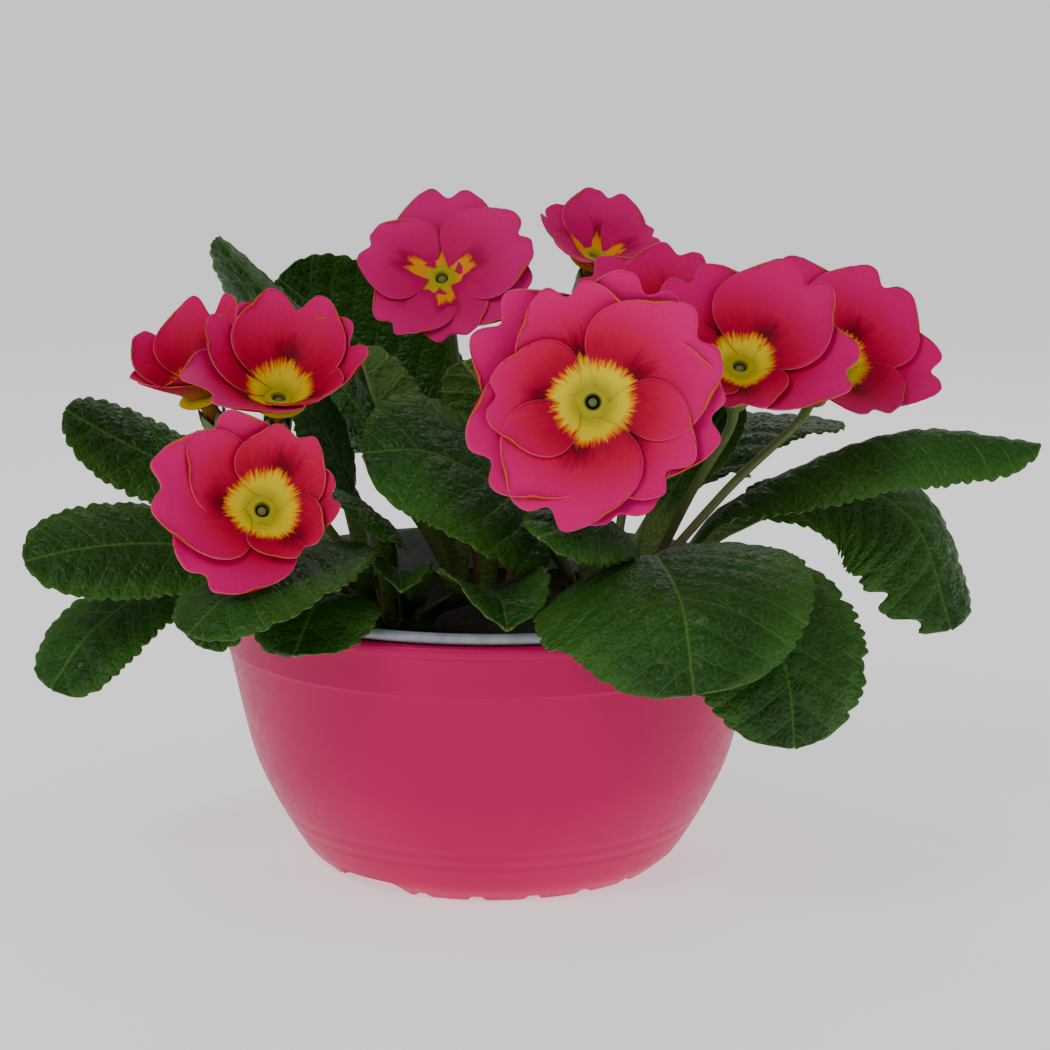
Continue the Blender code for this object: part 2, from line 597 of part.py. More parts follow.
class Flower:
    """A flower's centre and its own directions: out of its face, up and to the right."""

    def __init__(self, spec):
        self.spec = spec
        self.centre = Vector(spec["centre"])
        self.out = Vector(spec["faces"]).normalized()
        self.up = (UP - UP.dot(self.out) * self.out).normalized()
        self.right = self.up.cross(self.out)

    def petal_point(self, petal, across, along):
        """A point of a petal: across from -1 to 1, and along from the throat to its edge."""
        clock, share, layer, lean = petal
        angle = math.radians(clock)
        out = self.right * math.sin(angle) + self.up * math.cos(angle)
        side = self.right * math.cos(angle) - self.up * math.sin(angle)
        reach = self.spec["reach"] * share
        notch = self.spec.get("notch", PETAL_NOTCH) * math.exp(-((across / NOTCH_SPREAD) ** 2))
        edge = 1 - notch - CORNER_ROUNDING * across**4
        past_widest = max(0.0, along - PETAL_WIDEST) / (1 - PETAL_WIDEST)
        broad = PETAL_BREADTH * reach * (1 - PETAL_NARROWING * past_widest**2)
        spreading = math.sin(math.pi / 2 * min(1, max(0, along) / PETAL_WIDEST))
        width = CLAW_HALF_WIDTH + (broad - CLAW_HALF_WIDTH) * spreading
        start, turn = (math.radians(a) for a in self.spec["rise"])
        turn += math.radians(lean)
        distance = (reach - CLAW_RADIUS) * along * (1 - (1 - edge) * along**2)
        forward, lift = arc(distance, start, turn * along)
        tilt = across * min(PETAL_TILT * width, MOST_TILT)
        cup = PETAL_CUP * reach * across * across * along
        radius = CLAW_RADIUS + forward
        turn = across * width / radius
        spread = out * math.cos(turn) + side * math.sin(turn)
        return self.centre + spread * radius + self.out * (lift + cup - tilt + layer * LAYER_STEP)


def make_petal(flower, number, petal):
    """A thin closed petal with a notched outer edge."""
    top, under = [], []
    for along in PETAL_ROWS:
        for across in ACROSS:
            point = flower.petal_point(petal, across, along)
            step = 0.02
            a = flower.petal_point(petal, across, along + step)
            b = flower.petal_point(petal, across, along - step)
            c = flower.petal_point(petal, across + step, along)
            d = flower.petal_point(petal, across - step, along)
            normal = (c - d).cross(a - b).normalized()
            top.append(point + normal * PETAL_HALF)
            under.append(point - normal * PETAL_HALF)
    wide, count = len(ACROSS), len(top)
    faces = []
    for i in range(len(PETAL_ROWS) - 1):
        for j in range(wide - 1):
            a, b = i * wide + j, i * wide + j + 1
            c, d = b + wide, a + wide
            faces += [(a, b, c), (a, c, d)]
            faces += [(count + c, count + b, count + a), (count + d, count + c, count + a)]
    border = [*range(wide), *range(2 * wide - 1, count, wide)]
    border += [*range(count - 2, count - wide - 1, -1), *range(count - 2 * wide, 0, -wide)]
    for a, b in zip(border, border[1:] + border[:1]):
        faces += [(b, a, count + a), (b, count + a, count + b)]
    return mesh_object(f"petal_{number}", top + under, faces, "petal")


def round_rings(centre, axis, rings, sides):
    """Rings of points round an axis, from (height, radius) pairs."""
    across = axis.orthogonal().normalized()
    other = axis.cross(across)
    points = []
    for height, radius in rings:
        for j in range(sides):
            angle = 2 * math.pi * j / sides
            points.append(centre + axis * height + (across * math.cos(angle) + other * math.sin(angle)) * radius)
    return points


def make_corolla(name, spec):
    flower = Flower(spec)
    top = HUB_HALF + LAYER_STEP * max(layer for _, _, layer, _ in spec["petals"])
    rings = ((-TUBE_LENGTH, TUBE_RADIUS * 0.8), (-3.2, TUBE_RADIUS), (-HUB_HALF, HUB_RADIUS), (top, HUB_RADIUS))
    points = round_rings(flower.centre, flower.out, rings, STALK_SIDES)
    colour = "pink" if "back" in name else "petal"
    corolla = mesh_object(name, points, ring_faces(len(rings), STALK_SIDES), colour)
    petals = [make_petal(flower, number, petal) for number, petal in enumerate(spec["petals"])]
    apply_boolean(corolla, into_collection("petals", petals), "UNION")
    return corolla


def make_stalk(name, spec):
    """The flower's stalk, which widens into the calyx: a cup of five points round the tube."""
    flower = Flower(spec)
    x, y = root_of(spec)
    base = flower.centre - flower.out * (TUBE_LENGTH + CUP_DEPTH)
    low = Vector((x, y, SOIL_TOP + 2.5))
    rise = base - flower.out * 7
    middle = low.lerp(rise, 0.55) + UP * 3
    path = spline([(x, y, SOIL_TOP - ROOT_DEPTH), low - UP * 5, low, middle, rise, base])
    points = []
    shares = (0.0, path.share_of(low), 0.55, path.share_of(rise))
    across = Vector((1, 0, 0))
    frames = [(path.at(s), path.along(s), STALK_RADIUS) for s in shares]
    frames.append((base, flower.out, STALK_RADIUS * 1.3))
    for centre, along, radius in frames:
        across = (across - across.dot(along) * along).normalized()
        other = along.cross(across)
        for j in range(STALK_SIDES):
            angle = 2 * math.pi * j / STALK_SIDES
            points.append(centre + (across * math.cos(angle) + other * math.sin(angle)) * radius)
    other = flower.out.cross(across)
    inner = CALYX_RADIUS - CALYX_WALL
    rim = CUP_DEPTH + TUBE_LENGTH - CALYX_GAP
    cup = ((CUP_DEPTH - 0.8, CALYX_RADIUS), (rim, CALYX_RADIUS), (rim, inner), (CUP_DEPTH - 0.4, inner))
    for height, radius in cup:
        toothed = height == rim
        for j in range(STALK_SIDES):
            angle = 2 * math.pi * j / STALK_SIDES
            drop = CALYX_TOOTH if toothed and j % 2 else 0.0
            spot = base + flower.out * (height - drop)
            points.append(spot + (across * math.cos(angle) + other * math.sin(angle)) * radius)
    return mesh_object(name, points, ring_faces(len(frames) + len(cup), STALK_SIDES), "stalk")


def main():
    clear_scene()
    make_pot()
    make_liner()
    holes = [(*root_of(spec), PETIOLE_HALF_WIDTH) for spec in LEAVES.values()]
    holes += [(*root_of(spec), STALK_RADIUS) for spec in FLOWERS.values()]
    make_soil(holes)
    for name, spec in LEAVES.items():
        make_leaf(name, spec)
    for name, spec in FLOWERS.items():
        make_corolla(f"corolla_{name}", spec)
        make_stalk(f"stalk_{name}", spec)


main()
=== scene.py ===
"""The looks of the potted primrose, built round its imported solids.

Sizes below are millimetres from the pot's axis at table height, as in the part's source, with -Y
towards the camera. AXIS_OFFSET moves them into the frame, and each mesh is made in metres.
"""

import math
from bisect import bisect_left

import bpy
import numpy as np
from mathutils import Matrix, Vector, noise

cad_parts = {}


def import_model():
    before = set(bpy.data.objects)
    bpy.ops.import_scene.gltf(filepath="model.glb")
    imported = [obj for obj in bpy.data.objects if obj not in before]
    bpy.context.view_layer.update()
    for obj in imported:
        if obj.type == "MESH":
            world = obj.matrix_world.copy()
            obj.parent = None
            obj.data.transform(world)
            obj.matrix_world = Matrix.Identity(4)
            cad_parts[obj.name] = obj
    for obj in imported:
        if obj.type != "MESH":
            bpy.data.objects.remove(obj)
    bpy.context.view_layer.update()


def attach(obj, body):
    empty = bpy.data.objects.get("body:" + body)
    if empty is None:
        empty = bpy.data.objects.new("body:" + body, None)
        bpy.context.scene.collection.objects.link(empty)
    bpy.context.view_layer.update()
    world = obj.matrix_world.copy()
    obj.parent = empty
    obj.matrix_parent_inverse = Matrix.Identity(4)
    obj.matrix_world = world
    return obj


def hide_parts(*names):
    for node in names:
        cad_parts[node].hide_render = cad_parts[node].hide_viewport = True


MM = 0.001
AXIS_OFFSET = Vector((-10.8, -0.3, 0.0))
UP = Vector((0, 0, 1))

# Camera: where it stands from the pot's axis, how far it looks down, and its lens on a 36 mm frame
CAMERA_PLACE = (7.8, -700.0, 215.5)
CAMERA_PITCH = 0.1915
CAMERA_LENS = 103.0
SENSOR_WIDTH = 36.0

# Soft light: each lamp's place, its size in metres and its power, all aimed at the same spot
LAMPS = {
    "key": ((-420, -620, 720), 0.35, 2.2),
    "fill": ((620, -420, 420), 0.6, 0.5),
    "back": ((100, 600, 600), 0.6, 1.0),
}
LAMP_TARGET = (0, 0, 90)
WORLD_STRENGTH = 0.3
FLOOR_GLOW = 0.65
FLOOR_HALF_SIDE = 20.0

# Meshes are smooth except across edges sharper than this many degrees, and curves have this many
# points between two given ones.
SHARP_ANGLE = 50.0
SPLINE_STEPS = 24

# Cover pot, as in the part's source but turned in more steps
RIM_RADIUS = 65.0
RIM_HEIGHT = 65.0
POT_WALL = 1.8
POT_SIDES = 240
BOWL_PROFILE = ((8, 47.6), (16, 52.2), (25.5, 56.5), (36, 59.3), (46, 61.4), (53, 62.9))
BAND_STEP = 0.5
LIP_DROP = 2.6
LIP_OVERHANG = 0.8
FOOT_PROFILE = ((0, 40.5), (3.5, 44.5))
FOOT_WALL = 2.0
SKIRT_DEPTH = 5.0
ARCH_COUNT = 3
ARCH_MIDDLE = 228.0
ARCH_HALF_WIDTH = 13.5
ARCH_RISE = 3.3
NOTCH_COUNT = 20
NOTCH_FIRST = -94.5
NOTCH_RISE = 1.2
NOTCH_HALF_WIDTH = 2.4
RING_LINES = (13.6, 10.4)
RING_DEPTH = 0.22

# Liner and soil
LINER_WALL = 1.0
LINER_GAP = 1.0
LINER_FLOOR = 9.5
LIP_REST_GAP = 0.3
LIP_HEIGHT = 2.4
LIP_RADIUS = 63.9
NECK_RADIUS = 60.9
NECK_DROP = 1.5
FLOOR_INSET = 7.0
SOIL_TOP = 57.0
SOIL_MOUND_RISE = 1.5
SOIL_MOUND_RADIUS = 20.0
SOIL_EDGE_DROP = 1.0
SOIL_SIDES = 200
SOIL_RING_COUNT = 90
SOIL_GAP = 0.4
ROOT_DEPTH = 8.0

# Leaves
BLADE_HALF = 0.30
EDGE_HALF = 0.16
RIB_EXTRA = 0.75
PETIOLE_HALF_WIDTH = 1.9
PETIOLE_HALF_DEPTH = 1.3
NECK_SWELL = 0.22
TIP_HALF_WIDTH = 1.2
LOBE_PLACE = 0.12
PETIOLE_STEPS = 12
BLADE_STEP_LENGTH = 0.7
COLUMN_WIDTH = 1.0
TOOTH_LENGTH = 3.0
TOOTH_DEPTH = 0.6
VEIN_SPACING = 7.0
VEIN_SLANT = 0.62
CROSS_VEIN_SPACING = 4.2
QUILT_RISE = 0.7
WAVE_RISE = 1.3
# How deeply the margins of the torn leaves are cut.
TORN = {"leaf_right_drooping": 7.0, "leaf_right_low": 2.5}

# Flowers
PETAL_HALF = 0.16
PETAL_ROWS = 30
PETAL_COLUMNS = 29
PETAL_BREADTH = 0.64
PETAL_WIDEST = 0.66
PETAL_NARROWING = 0.36
PETAL_NOTCH = 0.13
NOTCH_SPREAD = 0.24
CORNER_ROUNDING = 0.18
# How high each petal lies over its neighbours, in turn round the flower.
PETAL_HEIGHTS = (0.0, 1.1, 0.4, 1.3, 0.55, 1.0)
PETALS_IN_UPPER_LAYER = 5
PETAL_TILT = 0.25
PETAL_CUP = 0.04
PETAL_RUFFLE = 1.2
STALK_RADIUS = 1.1
STALK_SIDES = 20
STALK_RINGS = 37
THROAT_SIDES = 40
STIGMA_SIDES = 12
TUBE_SIDES = 24
TUBE_RADIUS = 1.9
TUBE_LENGTH = 11.0
CALYX_RADIUS = 3.3
CALYX_WALL = 0.75
CALYX_TOOTH = 3.5
CALYX_GAP = 4.0
CUP_DEPTH = 3.0
CLAW_RADIUS = 3.0
CLAW_HALF_WIDTH = 1.9
LAYER_STEP = 2.5
EYE_SHARE = 0.36
# Values that tell the petals' shader it is on the throat, the stigma or the tube.
NO_EDGE = 2.0
STIGMA_MARK = -1.0
TUBE_MARK = 0.2

# Petal colours: the outer part, the inner part, the dark patch beside the eye, and the eye
RED_PETAL = {
    "outer": (0.85, 0.0, 0.20),
    "inner": (0.68, 0.0, 0.05),
    "dark": (0.13, 0.0, 0.008),
    "eye": (0.92, 0.72, 0.0),
}
PINK_PETAL = {
    "outer": (0.82, 0.008, 0.22),
    "inner": (0.68, 0.003, 0.14),
    "dark": (0.40, 0.0, 0.06),
    "eye": (0.95, 0.36, 0.0),
}

# The three crowns that the plants grow from: places on the soil.
CROWNS = {"left": (-30, -6), "right": (30, -6), "back": (0, 28)}
LEAF_RING = 10.5
STALK_RING = 4.2

# Each leaf: its crown and place round it in degrees, the way of its midrib from the neck of the
# blade to its tip, the blade's half width, where it is widest, how its blade rolls about the
# midrib from neck to tip, how each half folds and curls, and how far its lobes reach back.
LEAVES = {
    "leaf_right_front": dict(
        crown="right", at=-78, path=((36, -42, 80), (37, -60, 84), (41, -82, 78), (43, -93, 62)),
        half=31, widest=(0.36, 0.42), roll=(-10, -6), left=(6, -30), right=(-4, -26), lobe=11),
    "leaf_right_low": dict(
        crown="right", at=-38, path=((54, -36, 76), (61, -58, 71), (65, -69, 58), (66, -73, 45)),
        half=23, widest=(0.45, 0.45), roll=(-8, 0), left=(0, -18), right=(0, -20), lobe=4),
    "leaf_right_long": dict(
        crown="right", at=2, path=((52, -14, 84), (68, -19, 96), (96, -21, 106), (126, -20, 103)),
        half=15, widest=(0.7, 0.5), roll=(-6, -6), left=(-20, -25), right=(-30, -30)),
    "leaf_right_drooping": dict(
        crown="right", at=42, path=((60, 8, 82), (84, 12, 88), (101, 9, 79), (110, 2, 54)),
        half=22, widest=(0.6, 0.4), roll=(-25, -65), left=(-15, -35), right=(5, -30)),
    "leaf_right_behind": dict(
        crown="right", at=106, path=((46, 22, 84), (66, 34, 99), (86, 42, 98)),
        half=16, widest=(0.6, 0.45), roll=(0, 0), left=(5, -20), right=(5, -20)),
    "leaf_right_upright": dict(
        crown="right", at=66, path=((42, 10, 84), (51, 13, 98), (59, 13, 110)),
        half=11, widest=(0.6, 0.45), roll=(-30, -30), left=(10, 10), right=(10, 10)),
    "leaf_right_inner": dict(
        crown="right", at=135, path=((22, 6, 84), (23, 2, 98), (26, -2, 110)),
        half=12, widest=(0.6, 0.45), roll=(-20, -20), left=(10, 10), right=(10, 10)),
    "leaf_small_front": dict(
        crown="right", at=-122, path=((28, -34, 84), (24, -53, 92), (11, -70, 91)),
        half=12, widest=(0.5, 0.45), roll=(25, 30), left=(-10, -20), right=(-5, -20)),
    "leaf_centre": dict(
        crown="right", at=-162, path=((14, -28, 83), (1, -40, 97), (-14, -44, 105), (-28, -46, 105)),
        half=22, widest=(0.5, 0.45), roll=(50, 42), left=(5, -20), right=(0, -15)),
    "leaf_front_folded": dict(
        crown="left", at=-28, ring=17, path=((-4, -34, 70), (-0.5, -46, 73), (2.5, -56, 74), (4, -63, 69)),
        half=13, widest=(0.5, 0.5), roll=(6, 0), left=(20, 10), right=(20, 10)),
    "leaf_front_curled": dict(
        crown="left", at=-16, path=((-18, -32, 70), (-20, -41, 77), (-19.5, -50, 75)),
        half=7, widest=(0.55, 0.45), roll=(20, 10), left=(20, 20), right=(10, 20)),
    "leaf_left_front": dict(
        crown="left", at=-75, path=((-34, -40, 83), (-43, -58, 84), (-55, -76, 80), (-63, -84, 73)),
        half=18, widest=(0.5, 0.45), roll=(-4, -4), left=(-4, -18), right=(-4, -18), lobe=3),
    "leaf_left_rim": dict(
        crown="left", at=-112, path=((-34, -40, 71), (-38, -56, 73), (-42, -70, 65)),
        half=14, widest=(0.5, 0.45), roll=(0, 0), left=(0, -20), right=(0, -20)),
    "leaf_left_glossy": dict(
        crown="left", at=-150, path=((-56, -24, 77), (-76, -33, 82), (-92, -39, 82), (-104, -43, 80)),
        half=13.5, widest=(0.55, 0.45), roll=(34, 44), left=(-5, -20), right=(0, -15)),
    "leaf_left_curled": dict(
        crown="left", at=178, path=((-58, -8, 73), (-78, -18, 69), (-92, -26, 60), (-101, -32, 48)),
        half=13, widest=(0.8, 0.35), roll=(20, 30), left=(-5, -15), right=(-5, -15)),
    "leaf_left_tucked": dict(
        crown="left", at=-130, ring=17, path=((-50, -31, 72), (-59, -39, 69.5), (-65, -45, 61)),
        half=7.5, widest=(0.6, 0.4), roll=(25, 35), left=(-5, -15), right=(-5, -15)),
    "leaf_left_upper": dict(
        crown="left", at=146, path=((-54, 8, 84), (-72, 12, 90), (-89, 12, 98), (-102, 10, 106)),
        half=12, widest=(0.7, 0.45), roll=(34, 34), left=(0, -25), right=(0, -15)),
    "leaf_left_small": dict(
        crown="left", at=-51, path=((-25, -26, 83), (-26, -36, 90), (-33, -43, 93)),
        half=11, widest=(0.6, 0.45), roll=(30, 30), left=(0, -25), right=(0, -15)),
    "leaf_left_inner": dict(
        crown="left", at=92, path=((-34, 12, 84), (-41, 15, 102), (-48, 12, 114)),
        half=12, widest=(0.6, 0.45), roll=(0, 0), left=(5, -20), right=(5, -20)),
    "leaf_upright": dict(
        crown="back", at=-140, path=((-16, 12, 88), (-26, 7, 106), (-31, 3, 122)),
        half=12, widest=(0.6, 0.45), roll=(0, 0), left=(20, 20), right=(20, 20)),
    "leaf_tall_left": dict(
        crown="back", at=178, path=((-26, 32, 92), (-47, 34, 120), (-67, 30, 145)),
        half=13, widest=(0.6, 0.45), roll=(110, 130), left=(5, -20), right=(10, 40)),
    "leaf_tall_back": dict(
        crown="back", at=138, path=((-8, 46, 88), (-26, 50, 110), (-54, 50, 133)),
        half=18, widest=(0.6, 0.4), roll=(50, 70), left=(5, -20), right=(5, 30)),
    "leaf_middle": dict(
        crown="back", at=-98, path=((2, 8, 88), (2, -4, 108), (-6, -12, 121)),
        half=13, widest=(0.6, 0.45), roll=(10, 10), left=(5, -20), right=(5, -20)),
    "leaf_back_right": dict(
        crown="back", at=12, path=((26, 44, 84), (44, 60, 88), (60, 76, 80)),
        half=20, widest=(0.55, 0.45), roll=(0, 0), left=(5, -25), right=(5, -25)),
    "leaf_back": dict(
        crown="back", at=54, path=((8, 54, 80), (12, 74, 78), (14, 90, 62)),
        half=20, widest=(0.5, 0.45), roll=(0, 0), left=(0, -25), right=(0, -25)),
    "leaf_back_left": dict(
        crown="back", at=96, path=((-14, 58, 86), (-28, 74, 91), (-42, 88, 82)),
        half=19, widest=(0.55, 0.45), roll=(0, 0), left=(5, -25), right=(5, -25)),
    "leaf_side_left": dict(
        crown="left", at=118, path=((-46, 24, 74), (-64, 40, 74), (-78, 52, 62)),
        half=18, widest=(0.55, 0.45), roll=(0, 0), left=(0, -25), right=(0, -25)),
}

# Each flower: its crown and place in it in degrees, its centre, the way it faces, how far its
# petals reach, how steeply they rise from the throat and how much they then curl outwards, how
# deeply they are notched where that isn't usual, and its petals as (clock angle seen from the
# front, share of the reach, layer, degrees more that it curls in).
FLOWERS = {
    "front": dict(
        crown="right", at=-100, centre=(22.5, -55, 117.5), faces=(0, -0.97, 0.25), reach=29, rise=(6, 6),
        petals=((-14, 0.9, 1, 0), (60, 1, 1, -4), (134, 0.88, 1, 2), (202, 0.99, 1, -4), (272, 0.8, 1, 6),
                (26, 1, 0, 0), (98, 1, 0, 0), (168, 0.95, 0, 0), (240, 1, 0, 4), (310, 1.02, 0, -4))),
    "back_pink": dict(
        crown="back", at=-150, centre=(-12, 14, 137), faces=(-0.08, -0.8, 0.6), reach=21.5, rise=(12, -8),
        petals=((2, 1.1, 0, -4), (62, 1.08, 0, 4), (104, 1.02, 0, -8), (166, 0.84, 0, -14), (218, 0.9, 0, 0),
                (290, 0.95, 0, 6))),
    "back_side": dict(
        crown="back", at=20, centre=(25, 34, 140), faces=(0.22, -0.45, 0.87), reach=18, rise=(25, 0),
        petals=((30, 1.1, 0, 10), (95, 0.9, 0, 0), (165, 0.8, 0, 0), (235, 0.9, 0, 0), (310, 0.95, 0, 5))),
    "right": dict(
        crown="right", at=-20, centre=(56, -32, 122), faces=(0.05, -0.66, 0.75), reach=24.5, rise=(20, 0),
        petals=((-29, 1.05, 0, 4), (43, 1.1, 0, 6), (110, 1.1, 0, -4), (184, 0.75, 0, 0), (257, 0.85, 0, 4))),
    "right_behind": dict(
        crown="right", at=130, centre=(38, 2, 127), faces=(0, -0.8, 0.6), reach=20.5, rise=(15, 0),
        petals=((20, 1, 0, 0), (92, 1, 0, 0), (164, 1, 0, 0), (236, 1, 0, 0), (308, 1, 0, 0))),
    "far_right": dict(
        crown="right", at=50, centre=(80, 0, 118), faces=(0.3, -0.62, 0.72), reach=26, rise=(20, 0),
        petals=((-24, 1.08, 0, 6), (48, 1.05, 0, 0), (112, 1, 0, -6), (180, 0.85, 0, 0), (262, 0.8, 0, 6))),
    "left_outer": dict(
        crown="left", at=170, centre=(-68, 2, 111), faces=(-0.3, -0.3, 0.9), reach=23, rise=(40, 10),
        notch=0.22,
        petals=((-72, 1, 0, 0), (-20, 1.05, 0, 4), (34, 1, 0, 0), (106, 0.8, 0, 0), (200, 0.8, 0, -6))),
    "left_inner": dict(
        crown="left", at=20, centre=(-48, -26, 114), faces=(0.1, -0.5, 0.86), reach=24, rise=(34, 8),
        notch=0.22,
        petals=((-35, 1.02, 0, 4), (19, 1.06, 0, 4), (74, 1, 0, 0), (138, 0.76, 0, -4), (236, 1.15, 0, -14))),
    "left_low": dict(
        crown="left", at=-70, centre=(-49, -62, 95), faces=(0.2, -0.85, 0.5), reach=25, rise=(26, 0),
        petals=((-34, 0.92, 0, 4), (30, 0.76, 0, 8), (88, 0.7, 0, 4), (146, 0.66, 0, 10), (222, 1.04, 0, -8),
                (276, 1.1, 0, 0))),
}

# Meshes


def mesh_object(name, points, faces, material, attributes=None):
    """A smooth object from points in millimetres from the pot's axis, with values for its shader."""
    placed = (np.array([tuple(p) for p in points]) + np.array(AXIS_OFFSET)) * MM
    mesh = bpy.data.meshes.new(name)
    mesh.from_pydata(placed.tolist(), [], faces)
    for key, values in (attributes or {}).items():
        mesh.attributes.new(key, "FLOAT", "POINT").data.foreach_set("value", np.array(values, np.float32))
    mesh.materials.append(material)
    mesh.shade_smooth()
    obj = bpy.data.objects.new(name, mesh)
    bpy.context.scene.collection.objects.link(obj)
    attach(obj, "root")
    return obj


class Build:
    """Points, faces and shader values that one piece is gathered in."""

    def __init__(self, *keys):
        self.points = []
        self.faces = []
        self.values = {key: [] for key in keys}

    def add(self, points, faces, **values):
        start = len(self.points)
        self.points += points
        self.faces += [tuple(start + i for i in face) for face in faces]
        for key, stored in self.values.items():
            given = values.get(key, 0.0)
            stored += list(given) if hasattr(given, "__len__") else [given] * len(points)


def ring_faces(rings, sides, caps=True):
    faces = []
    for i in range(rings - 1):
        low, high = i * sides, (i + 1) * sides
        for j in range(sides):
            k = (j + 1) % sides
            faces.append((low + j, low + k, high + k, high + j))
    if caps:
        faces.append(tuple(range(sides))[::-1])
        faces.append(tuple(range((rings - 1) * sides, rings * sides)))
    return faces


def sheet_faces(rows, columns):
    """Faces of a thin closed sheet whose two sides are grids of points, one after the other."""
    count = rows * columns
    faces = []
    for i in range(rows - 1):
        for j in range(columns - 1):
            a = i * columns + j
            quad = (a, a + 1, a + columns + 1, a + columns)
            faces.append(quad)
            faces.append(tuple(count + n for n in quad[::-1]))
    border = [*range(columns), *range(2 * columns - 1, count, columns)]
    border += [*range(count - 2, count - columns - 1, -1), *range(count - 2 * columns, 0, -columns)]
    for a, b in zip(border, border[1:] + border[:1]):
        faces.append((b, a, count + a, count + b))
    return faces


# Curves


def ease(x):
    x = min(max(x, 0.0), 1.0)
    return x * x * (3 - 2 * x)


def arc(distance, start, turn):
    """(across, up) at a distance along an arc that starts at one angle and turns by another."""
    if abs(turn) < 1e-4:
        return distance * math.cos(start), distance * math.sin(start)
    return (
        distance * (math.sin(start + turn) - math.sin(start)) / turn,
        distance * (math.cos(start) - math.cos(start + turn)) / turn,
    )


def spline(points):
    """A smooth curve through the given points, by centripetal spacing."""
    points = [Vector(p) for p in points]
    ends = [2 * points[0] - points[1], *points, 2 * points[-1] - points[-2]]
    fine = []
    for a, b, c, d in zip(ends, ends[1:], ends[2:], ends[3:]):
        t = [0.0]
        for p, q in ((a, b), (b, c), (c, d)):
            t.append(t[-1] + math.sqrt((q - p).length))
        for k in range(SPLINE_STEPS):
            u = t[1] + (t[2] - t[1]) * k / SPLINE_STEPS
            a1 = a.lerp(b, u / t[1])
            a2 = b.lerp(c, (u - t[1]) / (t[2] - t[1]))
            a3 = c.lerp(d, (u - t[2]) / (t[3] - t[2]))
            b1 = a1.lerp(a2, u / t[2])
            b2 = a2.lerp(a3, (u - t[1]) / (t[3] - t[1]))
            fine.append(b1.lerp(b2, (u - t[1]) / (t[2] - t[1])))
    fine.append(points[-1])
    return Path(fine)


class Path:
    """A fine polyline that is read by its share of the whole length."""

    def __init__(self, points):
        self.points = points
        self.lengths = [0.0]
        for p, q in zip(points, points[1:]):
            self.lengths.append(self.lengths[-1] + (q - p).length)
        self.length = self.lengths[-1]

    def at(self, share):
        want = min(max(share, 0.0), 1.0) * self.length
        i = min(max(bisect_left(self.lengths, want), 1), len(self.lengths) - 1)
        near, far = self.lengths[i - 1], self.lengths[i]
        return self.points[i - 1].lerp(self.points[i], (want - near) / max(far - near, 1e-9))

    def along(self, share):
        return (self.at(share + 0.01) - self.at(share - 0.01)).normalized()

    def share_of(self, point):
        nearest = min(range(len(self.points)), key=lambda i: (self.points[i] - point).length)
        return self.lengths[nearest] / self.length


def root_of(spec):
    """Where a leaf or stalk stands on the soil: its place round its crown."""
    cx, cy = CROWNS[spec["crown"]]
    ring = spec.get("ring", STALK_RING if "centre" in spec else LEAF_RING)
    angle = math.radians(spec["at"])
    return cx + ring * math.cos(angle), cy + ring * math.sin(angle)


# Leaves


